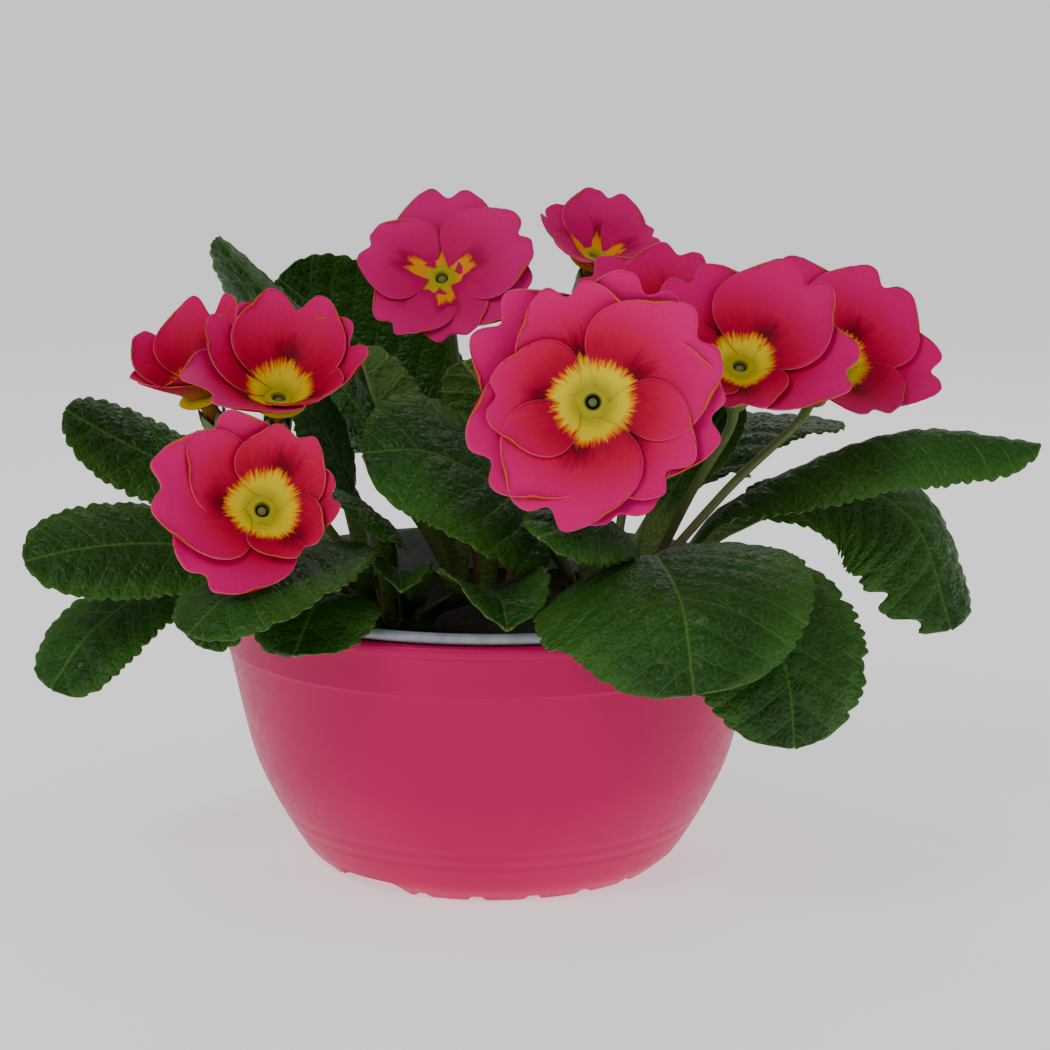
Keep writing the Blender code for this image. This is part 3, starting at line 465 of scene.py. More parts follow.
class Leaf:
    """A leaf's middle surface, read row by row from its foot to its tip."""

    def __init__(self, spec, torn=0.0):
        self.spec = spec
        self.torn = torn
        x, y = root_of(spec)
        foot = [(x, y, SOIL_TOP - ROOT_DEPTH), (x, y, SOIL_TOP - 3.0), (x, y, SOIL_TOP + 3.0)]
        self.path = spline([*foot, *spec["path"]])
        self.neck = self.path.share_of(Vector(spec["path"][0]))
        self.length = self.path.length * (1 - self.neck)
        tip = Vector(spec["path"][-1])
        out = Vector((tip.x - x, tip.y - y, 0)).normalized()
        self.side = out.cross(UP)
        self.seed = Vector((x * 3.1, y * 2.7, spec["half"] * 9.3))

    def blade(self, share):
        return (share - self.neck) / (1 - self.neck)

    def half_width(self, share):
        blade = self.blade(share)
        swell = NECK_SWELL * self.spec["half"] * ease(share / self.neck * 1.6 - 0.6)
        if blade <= 0:
            return PETIOLE_HALF_WIDTH + swell
        rise, fall = self.spec["widest"]
        peak = rise / (rise + fall)
        top = peak**rise * (1 - peak) ** fall
        oval = max(blade, 0) ** rise * max(1 - blade, 0) ** fall / top
        at_neck = PETIOLE_HALF_WIDTH + NECK_SWELL * self.spec["half"]
        return max(self.spec["half"] * oval, at_neck * (1 - ease(blade * 2)), TIP_HALF_WIDTH)

    def tooth(self, blade):
        """How far the scalloped margin stands out here, from -1 in a notch to 1 on a tooth."""
        turn = blade * self.length / TOOTH_LENGTH
        turn += 0.5 * noise.noise(self.seed + Vector((0, 0, blade * self.length * 0.11)))
        return 2 * abs(math.sin(math.pi * turn)) ** 0.6 - 1

    def tear(self, across, blade):
        """How deeply the margin is torn here."""
        ragged = noise.noise(self.seed + Vector((math.copysign(5, across), 0, blade * self.length * 0.23)))
        return self.torn * max(0.0, 2.2 * ragged - 0.2) * ease(blade * 3 - 0.5)

    def row(self, share, columns):
        """The middle surface's points across the leaf here, with their places on the blade."""
        centre, along = self.path.at(share), self.path.along(share)
        side = (self.side - self.side.dot(along) * along).normalized()
        up = side.cross(along)
        blade = self.blade(share)
        roll = math.radians(self.spec["roll"][0] + (self.spec["roll"][1] - self.spec["roll"][0]) * blade)
        roll *= ease(share / self.neck)
        side, up = side * math.cos(roll) + up * math.sin(roll), up * math.cos(roll) - side * math.sin(roll)
        strength = ease(blade * 3 + 0.3)
        flat = ease(blade * 4 + 0.6)
        width = self.half_width(share)
        row = []
        for across in np.linspace(-1, 1, columns):
            fold, curl = self.spec["left" if across < 0 else "right"]
            rim = abs(across) ** 6
            tooth = TOOTH_DEPTH * rim * self.tooth(blade) if blade > 0.03 else 0.0
            tooth -= self.tear(across, blade) * across**4
            sideways, lift = arc(
                max(width * abs(across) + tooth, 0.0),
                math.radians(fold) * strength,
                math.radians(curl) * strength * abs(across),
            )
            reach, far = width * across, blade * self.length
            lift += flat * self.quilt(reach, far) + flat * self.wave(across, far)
            back = self.spec.get("lobe", 0.0) * across**2 * max(0.0, 1 - 2 * abs(blade - LOBE_PLACE)) ** 3
            point = centre + side * math.copysign(sideways, across) + up * lift - along * back
            row.append((point, reach, far - back))
        return row

    def wave(self, across, far):
        """The slow rise and fall of the blade towards its margin."""
        swing = noise.noise(self.seed + Vector((across * 1.3, far * 0.09, 0)))
        return WAVE_RISE * swing * abs(across) ** 1.5 * min(1.0, self.spec["half"] / 14)

    def quilt(self, reach, far):
        """The blistered rise of the blade between its veins."""
        warp = noise.noise(Vector((reach * 0.12, far * 0.12, 3.3)) + self.seed) * 1.6
        lane = (far - abs(reach) * VEIN_SLANT + warp) / VEIN_SPACING + (0.5 if reach < 0 else 0.0)
        off_vein = abs(lane - round(lane)) * VEIN_SPACING
        cross = (abs(reach) + warp * 1.5) / CROSS_VEIN_SPACING + 0.37 * round(lane)
        off_cross = abs(cross - round(cross)) * CROSS_VEIN_SPACING
        beside_vein = 1 - math.exp(-((off_vein / 1.3) ** 2))
        beside_cross = 1 - math.exp(-((off_cross / 1.1) ** 2))
        blister = beside_vein * (0.4 + 0.6 * beside_cross)
        groove = math.exp(-((reach / 1.3) ** 2))
        return QUILT_RISE * (blister - 0.5) * (1 - groove) - 0.5 * groove


def make_leaf(name, spec, material):
    leaf = Leaf(spec, TORN.get(name, 0.0))
    blade_rows = max(30, round(leaf.length / BLADE_STEP_LENGTH))
    columns = 2 * max(8, round(spec["half"] / COLUMN_WIDTH)) + 1
    shares = [leaf.neck * k / PETIOLE_STEPS for k in range(PETIOLE_STEPS)]
    shares += [leaf.neck + (1 - leaf.neck) * k / blade_rows for k in range(blade_rows + 1)]
    rows = [leaf.row(share, columns) for share in shares]
    middle = np.array([[tuple(point) for point, _, _ in row] for row in rows])
    down = np.gradient(middle, axis=0)
    across = np.gradient(middle, axis=1)
    normals = np.cross(across, down)
    normals /= np.linalg.norm(normals, axis=2, keepdims=True) + 1e-9
    lateral = np.linspace(-1, 1, columns)
    half = np.zeros(middle.shape[:2])
    rib = np.zeros(middle.shape[:2])
    for i, share in enumerate(shares):
        blade = leaf.blade(share)
        flat = ease(blade * 2.5 + 0.5)
        thin = BLADE_HALF + (EDGE_HALF - BLADE_HALF) * np.abs(lateral) ** 4
        oval = PETIOLE_HALF_DEPTH * np.sqrt(np.maximum(0.12, 1 - lateral**2))
        half[i] = oval * (1 - flat) + thin * flat
        reach = leaf.half_width(share) * lateral
        rib[i] = flat * RIB_EXTRA * (1 - 0.7 * max(blade, 0)) * np.exp(-((reach / 0.9) ** 2))
    top = middle + normals * half[..., None]
    under = middle - normals * (half + rib)[..., None]
    points = np.concatenate([top.reshape(-1, 3), under.reshape(-1, 3)])
    reach = [value for row in rows for _, value, _ in row]
    far = [value for row in rows for _, _, value in row]
    rim = [abs(a) for _ in rows for a in lateral]
    stem = [1 - ease(leaf.blade(share) * 5 + 1) for share in shares for _ in lateral]
    values = {
        "reach": reach * 2,
        "far": far * 2,
        "rim": rim * 2,
        "stem": stem * 2,
        "under": [0.0] * len(reach) + [1.0] * len(reach),
    }
    obj = mesh_object(f"{name}_blade", points, sheet_faces(len(rows), columns), material, values)
    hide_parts(name)


# Flowers


class Flower:
    """A flower's centre and its own directions: out of its face, up and to the right."""

    def __init__(self, spec):
        self.spec = spec
        self.centre = Vector(spec["centre"])
        self.out = Vector(spec["faces"]).normalized()
        self.up = (UP - UP.dot(self.out) * self.out).normalized()
        self.right = self.up.cross(self.out)

    def spot(self, clock, radius, height):
        across = self.right * math.sin(clock) + self.up * math.cos(clock)
        return self.centre + across * radius + self.out * height

    def petal_spot(self, number, petal, across, along):
        """(clock, radius, height) of a petal's middle surface, which is wrapped round the axis."""
        clock, share, layer, lean = petal
        reach = self.spec["reach"] * share
        seed = Vector((number * 7.3, self.centre.x, self.centre.z))
        notch = self.spec.get("notch", PETAL_NOTCH) * math.exp(-((across / NOTCH_SPREAD) ** 2))
        edge = 1.02 - notch - CORNER_ROUNDING * across**4
        edge += 0.05 * noise.noise(seed + Vector((across * 2.5, 0, 0)))
        past_widest = max(0.0, along - PETAL_WIDEST) / (1 - PETAL_WIDEST)
        broad = PETAL_BREADTH * reach * (1 - PETAL_NARROWING * past_widest**2)
        spreading = math.sin(math.pi / 2 * min(1, along / PETAL_WIDEST))
        width = CLAW_HALF_WIDTH + (broad - CLAW_HALF_WIDTH) * spreading
        start, turn = (math.radians(a) for a in self.spec["rise"])
        turn += math.radians(lean)
        distance = (reach - CLAW_RADIUS) * along * (1 - (1 - edge) * along**2)
        forward, lift = arc(distance, start, turn * along)
        lap = number if number < len(PETAL_HEIGHTS) else number - PETALS_IN_UPPER_LAYER
        above = PETAL_HEIGHTS[lap]
        cup = PETAL_CUP * reach * across * across * along
        ruffle = PETAL_RUFFLE * along**2 * noise.noise(seed + Vector((across * 1.7, along * 1.2, 5)))
        crease = 0.35 * math.exp(-((across / 0.1) ** 2)) * along * (1 - along * 0.5)
        height = lift + cup - PETAL_TILT * across + ruffle - crease + above * ease(along * 3)
        height += layer * LAYER_STEP * ease(along * 3 + 0.35)
        radius = CLAW_RADIUS + forward
        return math.radians(clock) + across * width / radius, radius, height


def add_petal(build, flower, number, petal):
    rows = [i / (PETAL_ROWS - 1) for i in range(PETAL_ROWS)]
    columns = [2 * j / (PETAL_COLUMNS - 1) - 1 for j in range(PETAL_COLUMNS)]
    spots = [[flower.petal_spot(number, petal, a, r) for a in columns] for r in rows]
    middle = np.array([[tuple(flower.spot(*spot)) for spot in row] for row in spots])
    normals = np.cross(np.gradient(middle, axis=1), np.gradient(middle, axis=0))
    normals /= np.linalg.norm(normals, axis=2, keepdims=True) + 1e-9
    top = middle + normals * PETAL_HALF
    under = middle - normals * PETAL_HALF
    points = np.concatenate([top.reshape(-1, 3), under.reshape(-1, 3)])
    clock0 = math.radians(petal[0])
    radius = [spot[1] for row in spots for spot in row]
    clock = [spot[0] for row in spots for spot in row]
    own = [spot[0] - clock0 for row in spots for spot in row]
    rim = [max(abs(a) ** 8, r**14) for r in rows for a in columns]
    reach = flower.spec["reach"]
    build.add(
        [Vector(p) for p in points.tolist()],
        sheet_faces(PETAL_ROWS, PETAL_COLUMNS),
        radius=[value / reach for value in radius] * 2,
        eye=[eye_edge(flower, angle) for angle in own] * 2,
        round_x=[math.cos(c) for c in clock] * 2,
        round_y=[math.sin(c) for c in clock] * 2,
        own=own * 2,
        rim=rim * 2,
        under=[0.0] * len(radius) + [1.0] * len(radius),
    )


def is_star(flower):
    return flower.spec["crown"] == "back"


def eye_edge(flower, angle):
    """How far out the yellow eye reaches, as a share of the flower's reach."""
    if is_star(flower):
        ray = math.exp(-((angle / 0.40) ** 4))
        cleft = 0.06 * math.exp(-((angle / 0.07) ** 2))
        return 0.15 + 0.27 * ray - cleft
    return EYE_SHARE * (0.86 + 0.12 * math.exp(-((angle / 0.4) ** 2)))


def add_throat(build, flower):
    """The eye's disc, the ring round the mouth of the tube, the tube and the stigma in it."""
    top = 0.4 + 1.1 * max(layer for _, _, layer, _ in flower.spec["petals"])
    sides = THROAT_SIDES
    profile = [(6.4, -0.5), (5.6, 0.1), (4.4, top * 0.55 + 0.2), (3.4, top * 0.9), (2.8, top + 0.1)]
    profile += [(2.3, top + 0.35), (1.9, top + 0.3), (1.6, top - 0.1), (1.45, top - 1.0)]
    profile += [(1.3, top - 3.5), (0.05, top - 3.6)]
    points, radius = [], []
    for r, h in profile:
        for j in range(sides):
            clock = 2 * math.pi * j / sides
            lobe = 0.25 * math.cos(5 * clock) * (1 if 2.0 < r < 5 else 0)
            points.append(flower.spot(clock, r, h + lobe * 0.6))
            radius.append(r / flower.spec["reach"])
    clocks = [2 * math.pi * j / sides for _ in profile for j in range(sides)]
    faces = ring_faces(len(profile), sides, caps=False)
    round_x, round_y = [math.cos(c) for c in clocks], [math.sin(c) for c in clocks]
    outward = [face[::-1] for face in faces]
    build.add(points, outward, radius=radius, eye=NO_EDGE, round_x=round_x, round_y=round_y)
    stigma = [(0.0, -2.0), (0.35, -2.0), (0.4, -0.7), (0.95, -0.5), (1.1, -0.1), (0.85, 0.25), (0.0, 0.4)]
    around = [2 * math.pi * j / STIGMA_SIDES for j in range(STIGMA_SIDES)]
    points = [flower.spot(clock, r, top + h - 0.9) for r, h in stigma for clock in around]
    outward = [face[::-1] for face in ring_faces(len(stigma), STIGMA_SIDES, caps=False)]
    build.add(points, outward, radius=STIGMA_MARK, eye=NO_EDGE, round_x=1.0)
    tube = [(6.0, -0.9), (4.2, -1.1), (TUBE_RADIUS + 0.2, -3.2)]
    tube += [(TUBE_RADIUS * 0.8, -TUBE_LENGTH), (0.05, -TUBE_LENGTH)]
    around = [2 * math.pi * j / TUBE_SIDES for j in range(TUBE_SIDES)]
    points = [flower.spot(clock, r, h) for r, h in tube for clock in around]
    faces = ring_faces(len(tube), TUBE_SIDES, caps=False)
    build.add(points, faces, radius=TUBE_MARK, eye=NO_EDGE, round_x=1.0, under=1.0)


def make_corolla(name, spec, material):
    flower = Flower(spec)
    build = Build("radius", "eye", "round_x", "round_y", "own", "rim", "under")
    for number, petal in enumerate(spec["petals"]):
        add_petal(build, flower, number, petal)
    add_throat(build, flower)
    obj = mesh_object(f"petals_{name}", build.points, build.faces, material, build.values)
    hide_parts(f"corolla_{name}")


def make_stalk(name, spec, material):
    flower = Flower(spec)
    x, y = root_of(spec)
    base = flower.centre - flower.out * (TUBE_LENGTH + CUP_DEPTH)
    low = Vector((x, y, SOIL_TOP + 2.5))
    rise = base - flower.out * 7
    middle = low.lerp(rise, 0.55) + UP * 3
    path = spline([(x, y, SOIL_TOP - ROOT_DEPTH), low - UP * 5, low, middle, rise, base])
    across = Vector((1, 0, 0))
    points, climb = [], []
    for k in range(STALK_RINGS):
        share = k / (STALK_RINGS - 1)
        along = path.along(share)
        across = (across - across.dot(along) * along).normalized()
        other = along.cross(across)
        radius = STALK_RADIUS * (1 + 0.25 * ease(share * 8 - 7))
        for j in range(STALK_SIDES):
            angle = 2 * math.pi * j / STALK_SIDES
            points.append(path.at(share) + (across * math.cos(angle) + other * math.sin(angle)) * radius)
            climb.append(share)
    across = (across - across.dot(flower.out) * flower.out).normalized()
    other = flower.out.cross(across)
    rim = CUP_DEPTH + TUBE_LENGTH - CALYX_GAP
    inner = CALYX_RADIUS - CALYX_WALL
    cup = [(0.5, 1.7), (1.3, 2.7), (CUP_DEPTH - 0.6, CALYX_RADIUS)]
    cup += [(CUP_DEPTH + (rim - CUP_DEPTH) * k / 6, CALYX_RADIUS) for k in range(1, 7)]
    cup += [(CUP_DEPTH + (rim - CUP_DEPTH) * k / 6, inner + 0.3) for k in range(6, 0, -1)]
    cup += [(CUP_DEPTH - 0.3, inner)]
    for height, radius in cup:
        upper = max(0.0, (height - CUP_DEPTH) / (rim - CUP_DEPTH))
        for j in range(STALK_SIDES):
            angle = 2 * math.pi * j / STALK_SIDES
            tooth = 0.5 + 0.5 * math.cos(5 * angle)
            drop = CALYX_TOOTH * (1 - tooth) * upper**2
            ridge = 0.25 * (tooth - 0.5) * (1 - abs(2 * upper - 1))
            spot = base + flower.out * (height - drop)
            points.append(spot + (across * math.cos(angle) + other * math.sin(angle)) * (radius + ridge))
            climb.append(1.0)
    rings = STALK_RINGS + len(cup)
    obj = mesh_object(f"stem_{name}", points, ring_faces(rings, STALK_SIDES), material, {"climb": climb})
    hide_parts(f"stalk_{name}")


# Pot, liner and soil


def smooth_profile(points, steps):
    """A curve through (height, radius) points, for the turned walls."""
    path = spline([(r, 0, z) for z, r in points])
    count = steps * (len(points) - 1)
    return [(p.x, p.z) for p in (path.at(k / count) for k in range(count + 1))]


def turned_points(profile, sides, shape=None):
    """Points of a turned wall from its (radius, height) profile, which a shape may change round it."""
    points = []
    for radius, height in profile:
        for j in range(sides):
            angle = 2 * math.pi * j / sides
            r, z = shape(angle, radius, height) if shape else (radius, height)
            points.append((r * math.cos(angle), r * math.sin(angle), z))
    return points


def from_nearest(angle, first, count):
    """Degrees from an angle to the nearest of places that repeat evenly round the pot."""
    gap = 360.0 / count
    return abs((math.degrees(angle) - first + gap / 2) % gap - gap / 2)


def cut_foot(angle, radius, height):
    """Raises the foot's lower edge along its own slope: arches between the feet, and notches."""
    (low, low_radius), (high, high_radius) = FOOT_PROFILE
    if height >= high or radius < low_radius - FOOT_WALL - 0.01:
        return radius, height
    arch = from_nearest(angle, ARCH_MIDDLE, ARCH_COUNT)
    notch = from_nearest(angle, NOTCH_FIRST, NOTCH_COUNT)
    lift = ARCH_RISE * ease((ARCH_HALF_WIDTH + 2 - arch) / 5)
    lift = max(lift, NOTCH_RISE * ease((NOTCH_HALF_WIDTH + 0.7 - notch) / 1.5))
    raised = height + lift * (1 - height / high)
    slope = (high_radius - low_radius) / (high - low)
    return radius + (raised - height) * slope, raised


def ring_groove(height):
    return sum(RING_DEPTH * math.exp(-(((height - level) / 0.5) ** 2)) for level in RING_LINES)


def make_pot(material):
    lip_low = RIM_HEIGHT - LIP_DROP
    band_radius = RIM_RADIUS - LIP_OVERHANG
    wall = smooth_profile((*FOOT_PROFILE, *BOWL_PROFILE), 10)
    outer = [(r - ring_groove(z), z) for r, z in wall]
    step = BOWL_PROFILE[-1][1] + BAND_STEP
    outer += [(step - 0.4, 53.15), (step, 53.4), (step + 0.05, 54.0), (step + 0.3, 58.0)]
    outer += [(band_radius - 0.1, lip_low - 0.5), (band_radius, lip_low), (RIM_RADIUS - 0.15, lip_low + 0.15)]
    outer += [(RIM_RADIUS, lip_low + 0.5), (RIM_RADIUS, RIM_HEIGHT - 0.6)]
    outer += [(RIM_RADIUS - 0.25, RIM_HEIGHT - 0.15)]
    inner = [(RIM_RADIUS - 0.8, RIM_HEIGHT), (RIM_RADIUS - POT_WALL - LIP_OVERHANG, RIM_HEIGHT)]
    inner += [(r - POT_WALL, z) for z, r in BOWL_PROFILE[:0:-1]]
    skirt = [(r - FOOT_WALL, z) for z, r in FOOT_PROFILE]
    floor_top = SKIRT_DEPTH + POT_WALL
    inner += [(skirt[1][0] + 1.5, floor_top + 2.0), (skirt[1][0] - 1.5, floor_top)]
    under = [(0.5, SKIRT_DEPTH), (skirt[1][0], SKIRT_DEPTH), skirt[1], skirt[0]]
    profile = [*under, *outer, *inner, (0.5, floor_top)]
    points = turned_points(profile, POT_SIDES, cut_foot)
    obj = mesh_object("cover_pot", points, ring_faces(len(profile), POT_SIDES), material)
    obj.data.set_sharp_from_angle(angle=math.radians(SHARP_ANGLE))
    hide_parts("pot_bowl")


def make_liner(material):
    lip_low = RIM_HEIGHT + LIP_REST_GAP
    neck = lip_low - NECK_DROP
    wall = [(r - POT_WALL - LINER_GAP, z) for z, r in BOWL_PROFILE[1::2]]
    floor_radius = wall[0][0] - FLOOR_INSET
    middle, wide, tall = (LIP_RADIUS + NECK_RADIUS) / 2, (LIP_RADIUS - NECK_RADIUS) / 2, LIP_HEIGHT / 2
    bead = []
    for k in range(13):
        angle = math.radians(-90 + 270 * k / 12)
        bead.append((middle + wide * math.cos(angle), lip_low + tall + tall * math.sin(angle)))
    profile = [(floor_radius, LINER_FLOOR), *wall, (NECK_RADIUS, neck), (NECK_RADIUS + 0.7, lip_low), *bead]
    profile += [(NECK_RADIUS - LINER_WALL, neck), *[(r - LINER_WALL, z) for r, z in wall[::-1]]]
    profile += [(floor_radius - LINER_WALL, LINER_FLOOR + LINER_WALL)]
    points = turned_points(profile, POT_SIDES)
    obj = mesh_object("liner", points, ring_faces(len(profile), POT_SIDES), material)
    obj.data.set_sharp_from_angle(angle=math.radians(SHARP_ANGLE))
    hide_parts("liner_pot")


def soil_height(x, y):
    """The soil's crumbly surface, with a low mound under each crown."""
    spread = SOIL_MOUND_RADIUS**2
    mound = max(math.exp(-((x - cx) ** 2 + (y - cy) ** 2) / spread) for cx, cy in CROWNS.values())
    lump = noise.noise(Vector((x, y, 0)) * 0.16) + 0.6 * noise.noise(Vector((x, y, 9)) * 0.45)
    crumb = 0.5 * abs(noise.noise(Vector((x, y, 4)) * 1.1))
    return SOIL_TOP + SOIL_MOUND_RISE * mound + 0.7 * lump + crumb


def make_soil(material):
    floor = LINER_FLOOR + LINER_WALL + SOIL_GAP
    wall = [(r - POT_WALL - LINER_GAP - LINER_WALL - SOIL_GAP, z) for z, r in BOWL_PROFILE[1::2]]
    edge = wall[-1][0]
    side = [(wall[0][0] - FLOOR_INSET, floor), *wall[:-1], (edge, SOIL_TOP - SOIL_EDGE_DROP)]
    top = [(edge * (1 - i / SOIL_RING_COUNT), SOIL_TOP) for i in range(1, SOIL_RING_COUNT)]
    points = turned_points(side + top, SOIL_SIDES)
    start = len(side) * SOIL_SIDES
    points[start:] = [(x, y, soil_height(x, y)) for x, y, _ in points[start:]]
    obj = mesh_object("soil", points, ring_faces(len(side + top), SOIL_SIDES), material)
    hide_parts("potting_soil")


# Materials


class Nodes:
    """A material's node tree, with short calls that add nodes and join them."""

    def __init__(self, name, roughness):
        self.material = bpy.data.materials.new(name)
        self.material.use_nodes = True
        self.tree = self.material.node_tree
        self.shader = self.tree.nodes["Principled BSDF"]
        self.shader.inputs["Roughness"].default_value = roughness

    def give(self, socket, value):
        if hasattr(value, "is_linked"):
            self.tree.links.new(value, socket)
        elif hasattr(value, "__len__") and len(value) == 3 and len(socket.default_value) == 4:
            socket.default_value = (*value, 1)
        else:
            socket.default_value = value

    def node(self, kind, inputs=(), **settings):
        made = self.tree.nodes.new(kind)
        for key, value in settings.items():
            setattr(made, key, value)
        for key, value in dict(inputs).items():
            self.give(made.inputs[key], value)
        return made

    def math(self, operation, *values):
        made = self.node("ShaderNodeMath", operation=operation)
        for socket, value in zip(made.inputs, values):
            self.give(socket, value)
        return made.outputs[0]

    def value(self, key):
        return self.node("ShaderNodeAttribute", attribute_name=key).outputs["Fac"]

    def vector(self, x, y, z=0.0):
        return self.node("ShaderNodeCombineXYZ", {"X": x, "Y": y, "Z": z}).outputs[0]

    def place(self):
        return self.node("ShaderNodeTexCoord").outputs["Object"]

    def noise(self, where, scale, detail=2.0, rough=0.5):
        inputs = {"Vector": where, "Scale": scale, "Detail": detail, "Roughness": rough}
        return self.node("ShaderNodeTexNoise", inputs).outputs["Fac"]

    def step(self, value, low, high, start=0.0, end=1.0):
        """Runs smoothly from start to end as the value goes from low to high."""
        inputs = {"Value": value, "From Min": low, "From Max": high, "To Min": start, "To Max": end}
        return self.node("ShaderNodeMapRange", inputs, interpolation_type="SMOOTHSTEP").outputs[0]

    def mix(self, share, first, second):
        made = self.node("ShaderNodeMix", data_type="RGBA")
        self.give(made.inputs[0], share)
        self.give(made.inputs[6], first)
        self.give(made.inputs[7], second)
        return made.outputs[2]

    def bump(self, height, strength, distance):
        inputs = {"Height": height, "Strength": strength, "Distance": distance}
        return self.node("ShaderNodeBump", inputs).outputs[0]

    def finish(self, **inputs):
        for key, value in inputs.items():
            self.give(self.shader.inputs[key.replace("_", " ")], value)
        return self.material


def vein_mask(nodes, off, width):
    """1 on a vein and 0 beside it, from the distance to it in millimetres."""
    return nodes.step(off, 0.0, width, 1.0, 0.0)


def leaf_material():
    nodes = Nodes("primrose_leaf", 0.42)
    reach, far = nodes.value("reach"), nodes.value("far")
    side = nodes.math("ABSOLUTE", reach)
    drift = nodes.noise(nodes.vector(reach, far), 0.14)
    warp = nodes.math("MULTIPLY", nodes.math("SUBTRACT", drift, 0.5), 3.0)
    lane = nodes.math("SUBTRACT", far, nodes.math("MULTIPLY", side, VEIN_SLANT))
    lane = nodes.math("DIVIDE", nodes.math("ADD", lane, warp), VEIN_SPACING)
    lane = nodes.math("ADD", lane, nodes.math("MULTIPLY", nodes.math("LESS_THAN", reach, 0.0), 0.5))
    off_vein = nodes.math("MULTIPLY", nodes.math("PINGPONG", lane, 0.5), VEIN_SPACING)
    cell_place = {"Vector": nodes.vector(reach, far), "Scale": 0.55}
    web = nodes.node("ShaderNodeTexVoronoi", cell_place, feature="DISTANCE_TO_EDGE")
    rib = vein_mask(nodes, side, 0.7)
    vein = nodes.math("MULTIPLY", vein_mask(nodes, off_vein, 0.45), 0.6)
    net = nodes.math("MULTIPLY", nodes.step(web.outputs["Distance"], 0.0, 0.12, 1.0, 0.0), 0.22)
    veins = nodes.math("MAXIMUM", rib, nodes.math("MAXIMUM", vein, net))
    rim, under, stem = nodes.value("rim"), nodes.value("under"), nodes.value("stem")
    patch = nodes.noise(nodes.place(), 38.0, 3.0)
    dark = nodes.mix(nodes.step(patch, 0.35, 0.65), (0.008, 0.050, 0.003), (0.018, 0.088, 0.005))
    fresh = nodes.mix(nodes.step(rim, 0.5, 1.0, 0.0, 0.55), dark, (0.045, 0.150, 0.008))
    top = nodes.mix(nodes.math("MULTIPLY", veins, 0.5), fresh, (0.12, 0.27, 0.03))
    back = nodes.mix(nodes.math("MULTIPLY", veins, 0.8), (0.075, 0.17, 0.03), (0.30, 0.40, 0.13))
    blade = nodes.mix(under, top, back)
    colour = nodes.mix(stem, blade, (0.14, 0.22, 0.05))
    fine = nodes.noise(nodes.vector(reach, far), 0.9, 2.0)
    cells = nodes.step(web.outputs["Distance"], 0.0, 0.4)
    relief = nodes.math("SUBTRACT", nodes.math("ADD", nodes.math("MULTIPLY", fine, 0.4), cells), veins)
    normal = nodes.bump(relief, 0.55, 0.00035)
    rough = nodes.step(fine, 0.3, 0.7, 0.34, 0.5)
    return nodes.finish(Base_Color=colour, Normal=normal, Roughness=rough, Specular_IOR_Level=0.25)


def petal_material(name, outer, inner, dark, eye):
    nodes = Nodes(name, 0.55)
    radius, edge, rim = nodes.value("radius"), nodes.value("eye"), nodes.value("rim")
    around = nodes.vector(nodes.value("round_x"), nodes.value("round_y"), nodes.math("MULTIPLY", radius, 0.5))
    streak = nodes.noise(around, 12.0, 4.0, 0.75)
    fray = nodes.math("MULTIPLY", nodes.math("SUBTRACT", streak, 0.5), 0.26)
    past = nodes.math("SUBTRACT", nodes.math("ADD", radius, fray), edge)
    body = nodes.mix(nodes.step(radius, 0.42, 0.9), inner, outer)
    own = nodes.math("ABSOLUTE", nodes.value("own"))
    on_midline = nodes.step(own, 0.05, 0.5, 1.0, 0.4)
    heart = nodes.math("MULTIPLY", on_midline, nodes.step(past, 0.0, 0.24, 1.0, 0.0))
    body = nodes.mix(heart, body, dark)
    veins = nodes.noise(around, 30.0, 2.0)
    body = nodes.mix(nodes.step(veins, 0.5, 0.8, 0.0, 0.2), body, inner)
    centre = nodes.mix(nodes.step(radius, 0.12, 0.24), (0.50, 0.44, 0.02), eye)
    # Painted shade: the inner wall of the tube's mouth is coloured near-black, as the shadow inside the hole.
    centre = nodes.mix(nodes.step(radius, 0.05, 0.08), (0.06, 0.06, 0.012), centre)
    centre = nodes.mix(nodes.step(past, -0.07, 0.0), centre, (0.80, 0.10, 0.0))
    colour = nodes.mix(nodes.step(past, -0.008, 0.01), centre, body)
    colour = nodes.mix(nodes.step(rim, 0.9, 1.0, 0.0, 0.4), colour, (0.95, 0.16, 0.36))
    below = nodes.mix(nodes.step(radius, 0.15, 0.5), (0.30, 0.12, 0.02), (0.42, 0.0, 0.03))
    below = nodes.mix(nodes.step(rim, 0.6, 0.9), below, (0.65, 0.16, 0.03))
    colour = nodes.mix(nodes.value("under"), colour, below)
    colour = nodes.mix(nodes.math("LESS_THAN", radius, -0.5), colour, (0.20, 0.24, 0.07))
    normal = nodes.bump(nodes.math("ADD", veins, nodes.noise(nodes.place(), 900.0, 2.0)), 0.2, 0.0003)
    return nodes.finish(Base_Color=colour, Normal=normal, Specular_IOR_Level=0.12)


def stalk_material():
    nodes = Nodes("primrose_stalk", 0.5)
    climb = nodes.value("climb")
    green = nodes.mix(nodes.step(climb, 0.0, 0.9), (0.16, 0.06, 0.03), (0.14, 0.22, 0.05))
    fine = nodes.noise(nodes.place(), 700.0, 2.0)
    colour = nodes.mix(nodes.step(fine, 0.3, 0.7, 0.0, 0.35), green, (0.22, 0.28, 0.09))
    return nodes.finish(Base_Color=colour, Normal=nodes.bump(fine, 0.3, 0.0003))


def pot_material():
    nodes = Nodes("pink_plastic", 0.36)
    fine = nodes.noise(nodes.place(), 420.0, 3.0)
    broad = nodes.noise(nodes.place(), 18.0, 2.0)
    colour = nodes.mix(nodes.step(broad, 0.3, 0.7), (0.56, 0.0, 0.10), (0.62, 0.0, 0.115))
    rough = nodes.step(fine, 0.3, 0.7, 0.32, 0.42)
    normal = nodes.bump(fine, 0.12, 0.0003)
    return nodes.finish(Base_Color=colour, Roughness=rough, Normal=normal, Specular_IOR_Level=0.2)


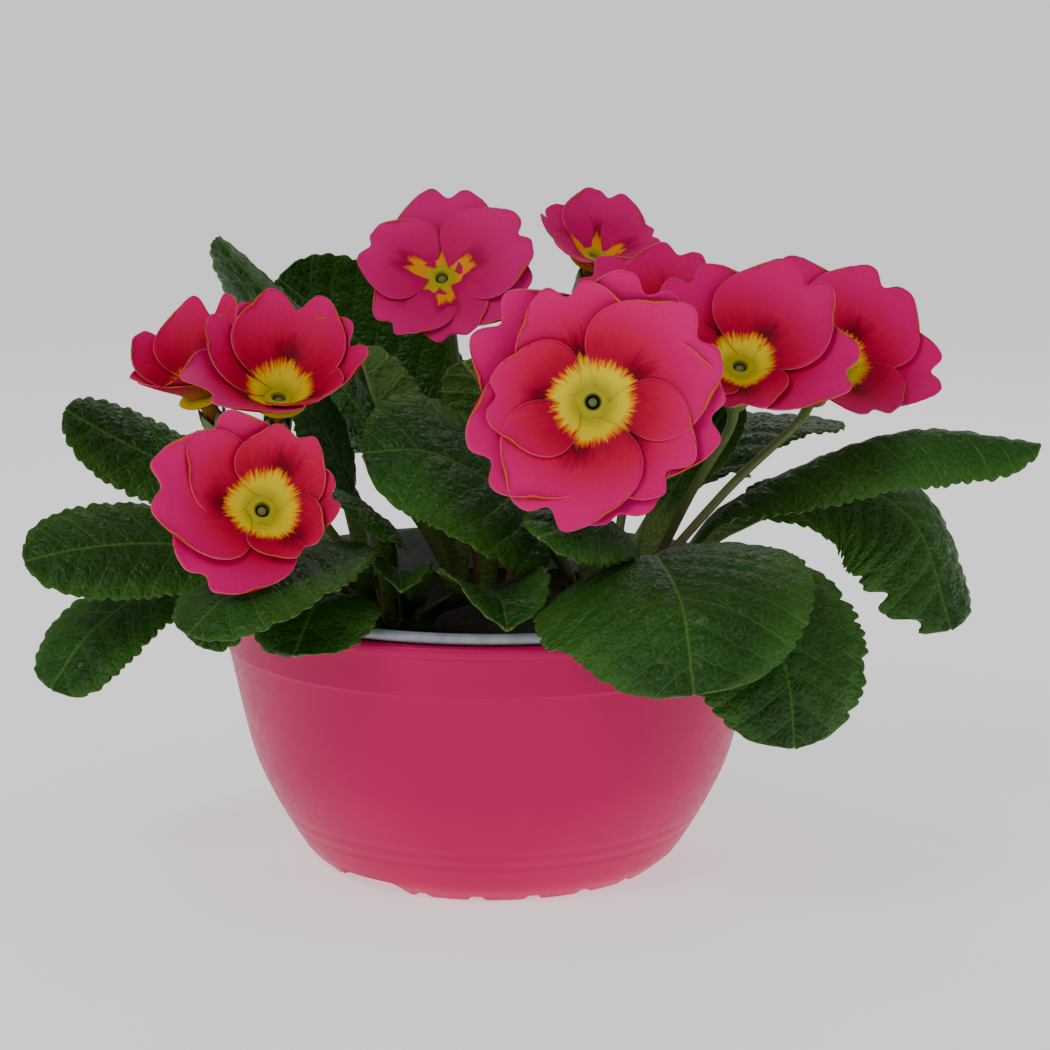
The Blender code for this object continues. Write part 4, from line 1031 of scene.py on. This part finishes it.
def liner_material():
    nodes = Nodes("grey_plastic", 0.42)
    fine = nodes.noise(nodes.place(), 300.0, 3.0)
    colour = nodes.mix(nodes.step(fine, 0.3, 0.7), (0.27, 0.30, 0.34), (0.36, 0.39, 0.43))
    return nodes.finish(Base_Color=colour, Normal=nodes.bump(fine, 0.15, 0.0003))


def soil_material():
    nodes = Nodes("damp_peat", 0.95)
    grain = nodes.noise(nodes.place(), 520.0, 5.0, 0.7)
    clump = nodes.noise(nodes.place(), 140.0, 4.0, 0.6)
    colour = nodes.mix(nodes.step(grain, 0.35, 0.7), (0.006, 0.004, 0.003), (0.03, 0.02, 0.012))
    colour = nodes.mix(nodes.step(clump, 0.62, 0.72), colour, (0.10, 0.065, 0.035))
    return nodes.finish(Base_Color=colour, Normal=nodes.bump(nodes.math("ADD", grain, clump), 1.0, 0.0012))


def floor_material():
    nodes = Nodes("pale_floor", 0.9)
    return nodes.finish(Base_Color=(0.95, 0.95, 0.95), Emission_Color=(1, 1, 1), Emission_Strength=FLOOR_GLOW)


# Stage


def make_camera():
    camera = bpy.data.objects.new("camera", bpy.data.cameras.new("camera"))
    bpy.context.scene.collection.objects.link(camera)
    bpy.context.scene.camera = camera
    camera.location = (Vector(CAMERA_PLACE) + AXIS_OFFSET) * MM
    camera.rotation_euler = (math.pi / 2 - CAMERA_PITCH, 0, 0)
    camera.data.sensor_width = SENSOR_WIDTH
    camera.data.lens = CAMERA_LENS


def make_light(name, place, size, energy):
    data = bpy.data.lights.new(name, "AREA")
    data.shape = "DISK"
    data.size = size
    data.energy = energy
    light = bpy.data.objects.new(name, data)
    bpy.context.scene.collection.objects.link(light)
    light.location = Vector(place) * MM
    aim = (Vector(LAMP_TARGET) - Vector(place)).to_track_quat("-Z", "Y")
    light.rotation_euler = aim.to_euler()


def make_world():
    world = bpy.data.worlds.new("white_room")
    world.use_nodes = True
    world.node_tree.nodes["Background"].inputs["Color"].default_value = (1, 1, 1, 1)
    world.node_tree.nodes["Background"].inputs["Strength"].default_value = WORLD_STRENGTH
    bpy.context.scene.world = world


def make_floor():
    mesh = bpy.data.meshes.new("floor")
    far = FLOOR_HALF_SIDE
    mesh.from_pydata([(-far, -far, 0), (far, -far, 0), (far, far, 0), (-far, far, 0)], [], [(0, 1, 2, 3)])
    mesh.materials.append(floor_material())
    floor = bpy.data.objects.new("floor", mesh)
    bpy.context.scene.collection.objects.link(floor)


def main():
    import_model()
    make_pot(pot_material())
    make_liner(liner_material())
    make_soil(soil_material())
    leaf = leaf_material()
    for name, spec in LEAVES.items():
        make_leaf(name, spec, leaf)
    red = petal_material("red_petal", **RED_PETAL)
    pink = petal_material("pink_petal", **PINK_PETAL)
    stalk = stalk_material()
    for name, spec in FLOWERS.items():
        make_corolla(name, spec, pink if spec["crown"] == "back" else red)
        make_stalk(name, spec, stalk)
    make_camera()
    make_floor()
    make_world()
    for name, (place, size, energy) in LAMPS.items():
        make_light(name, place, size, energy)
    bpy.context.view_layer.update()


main()
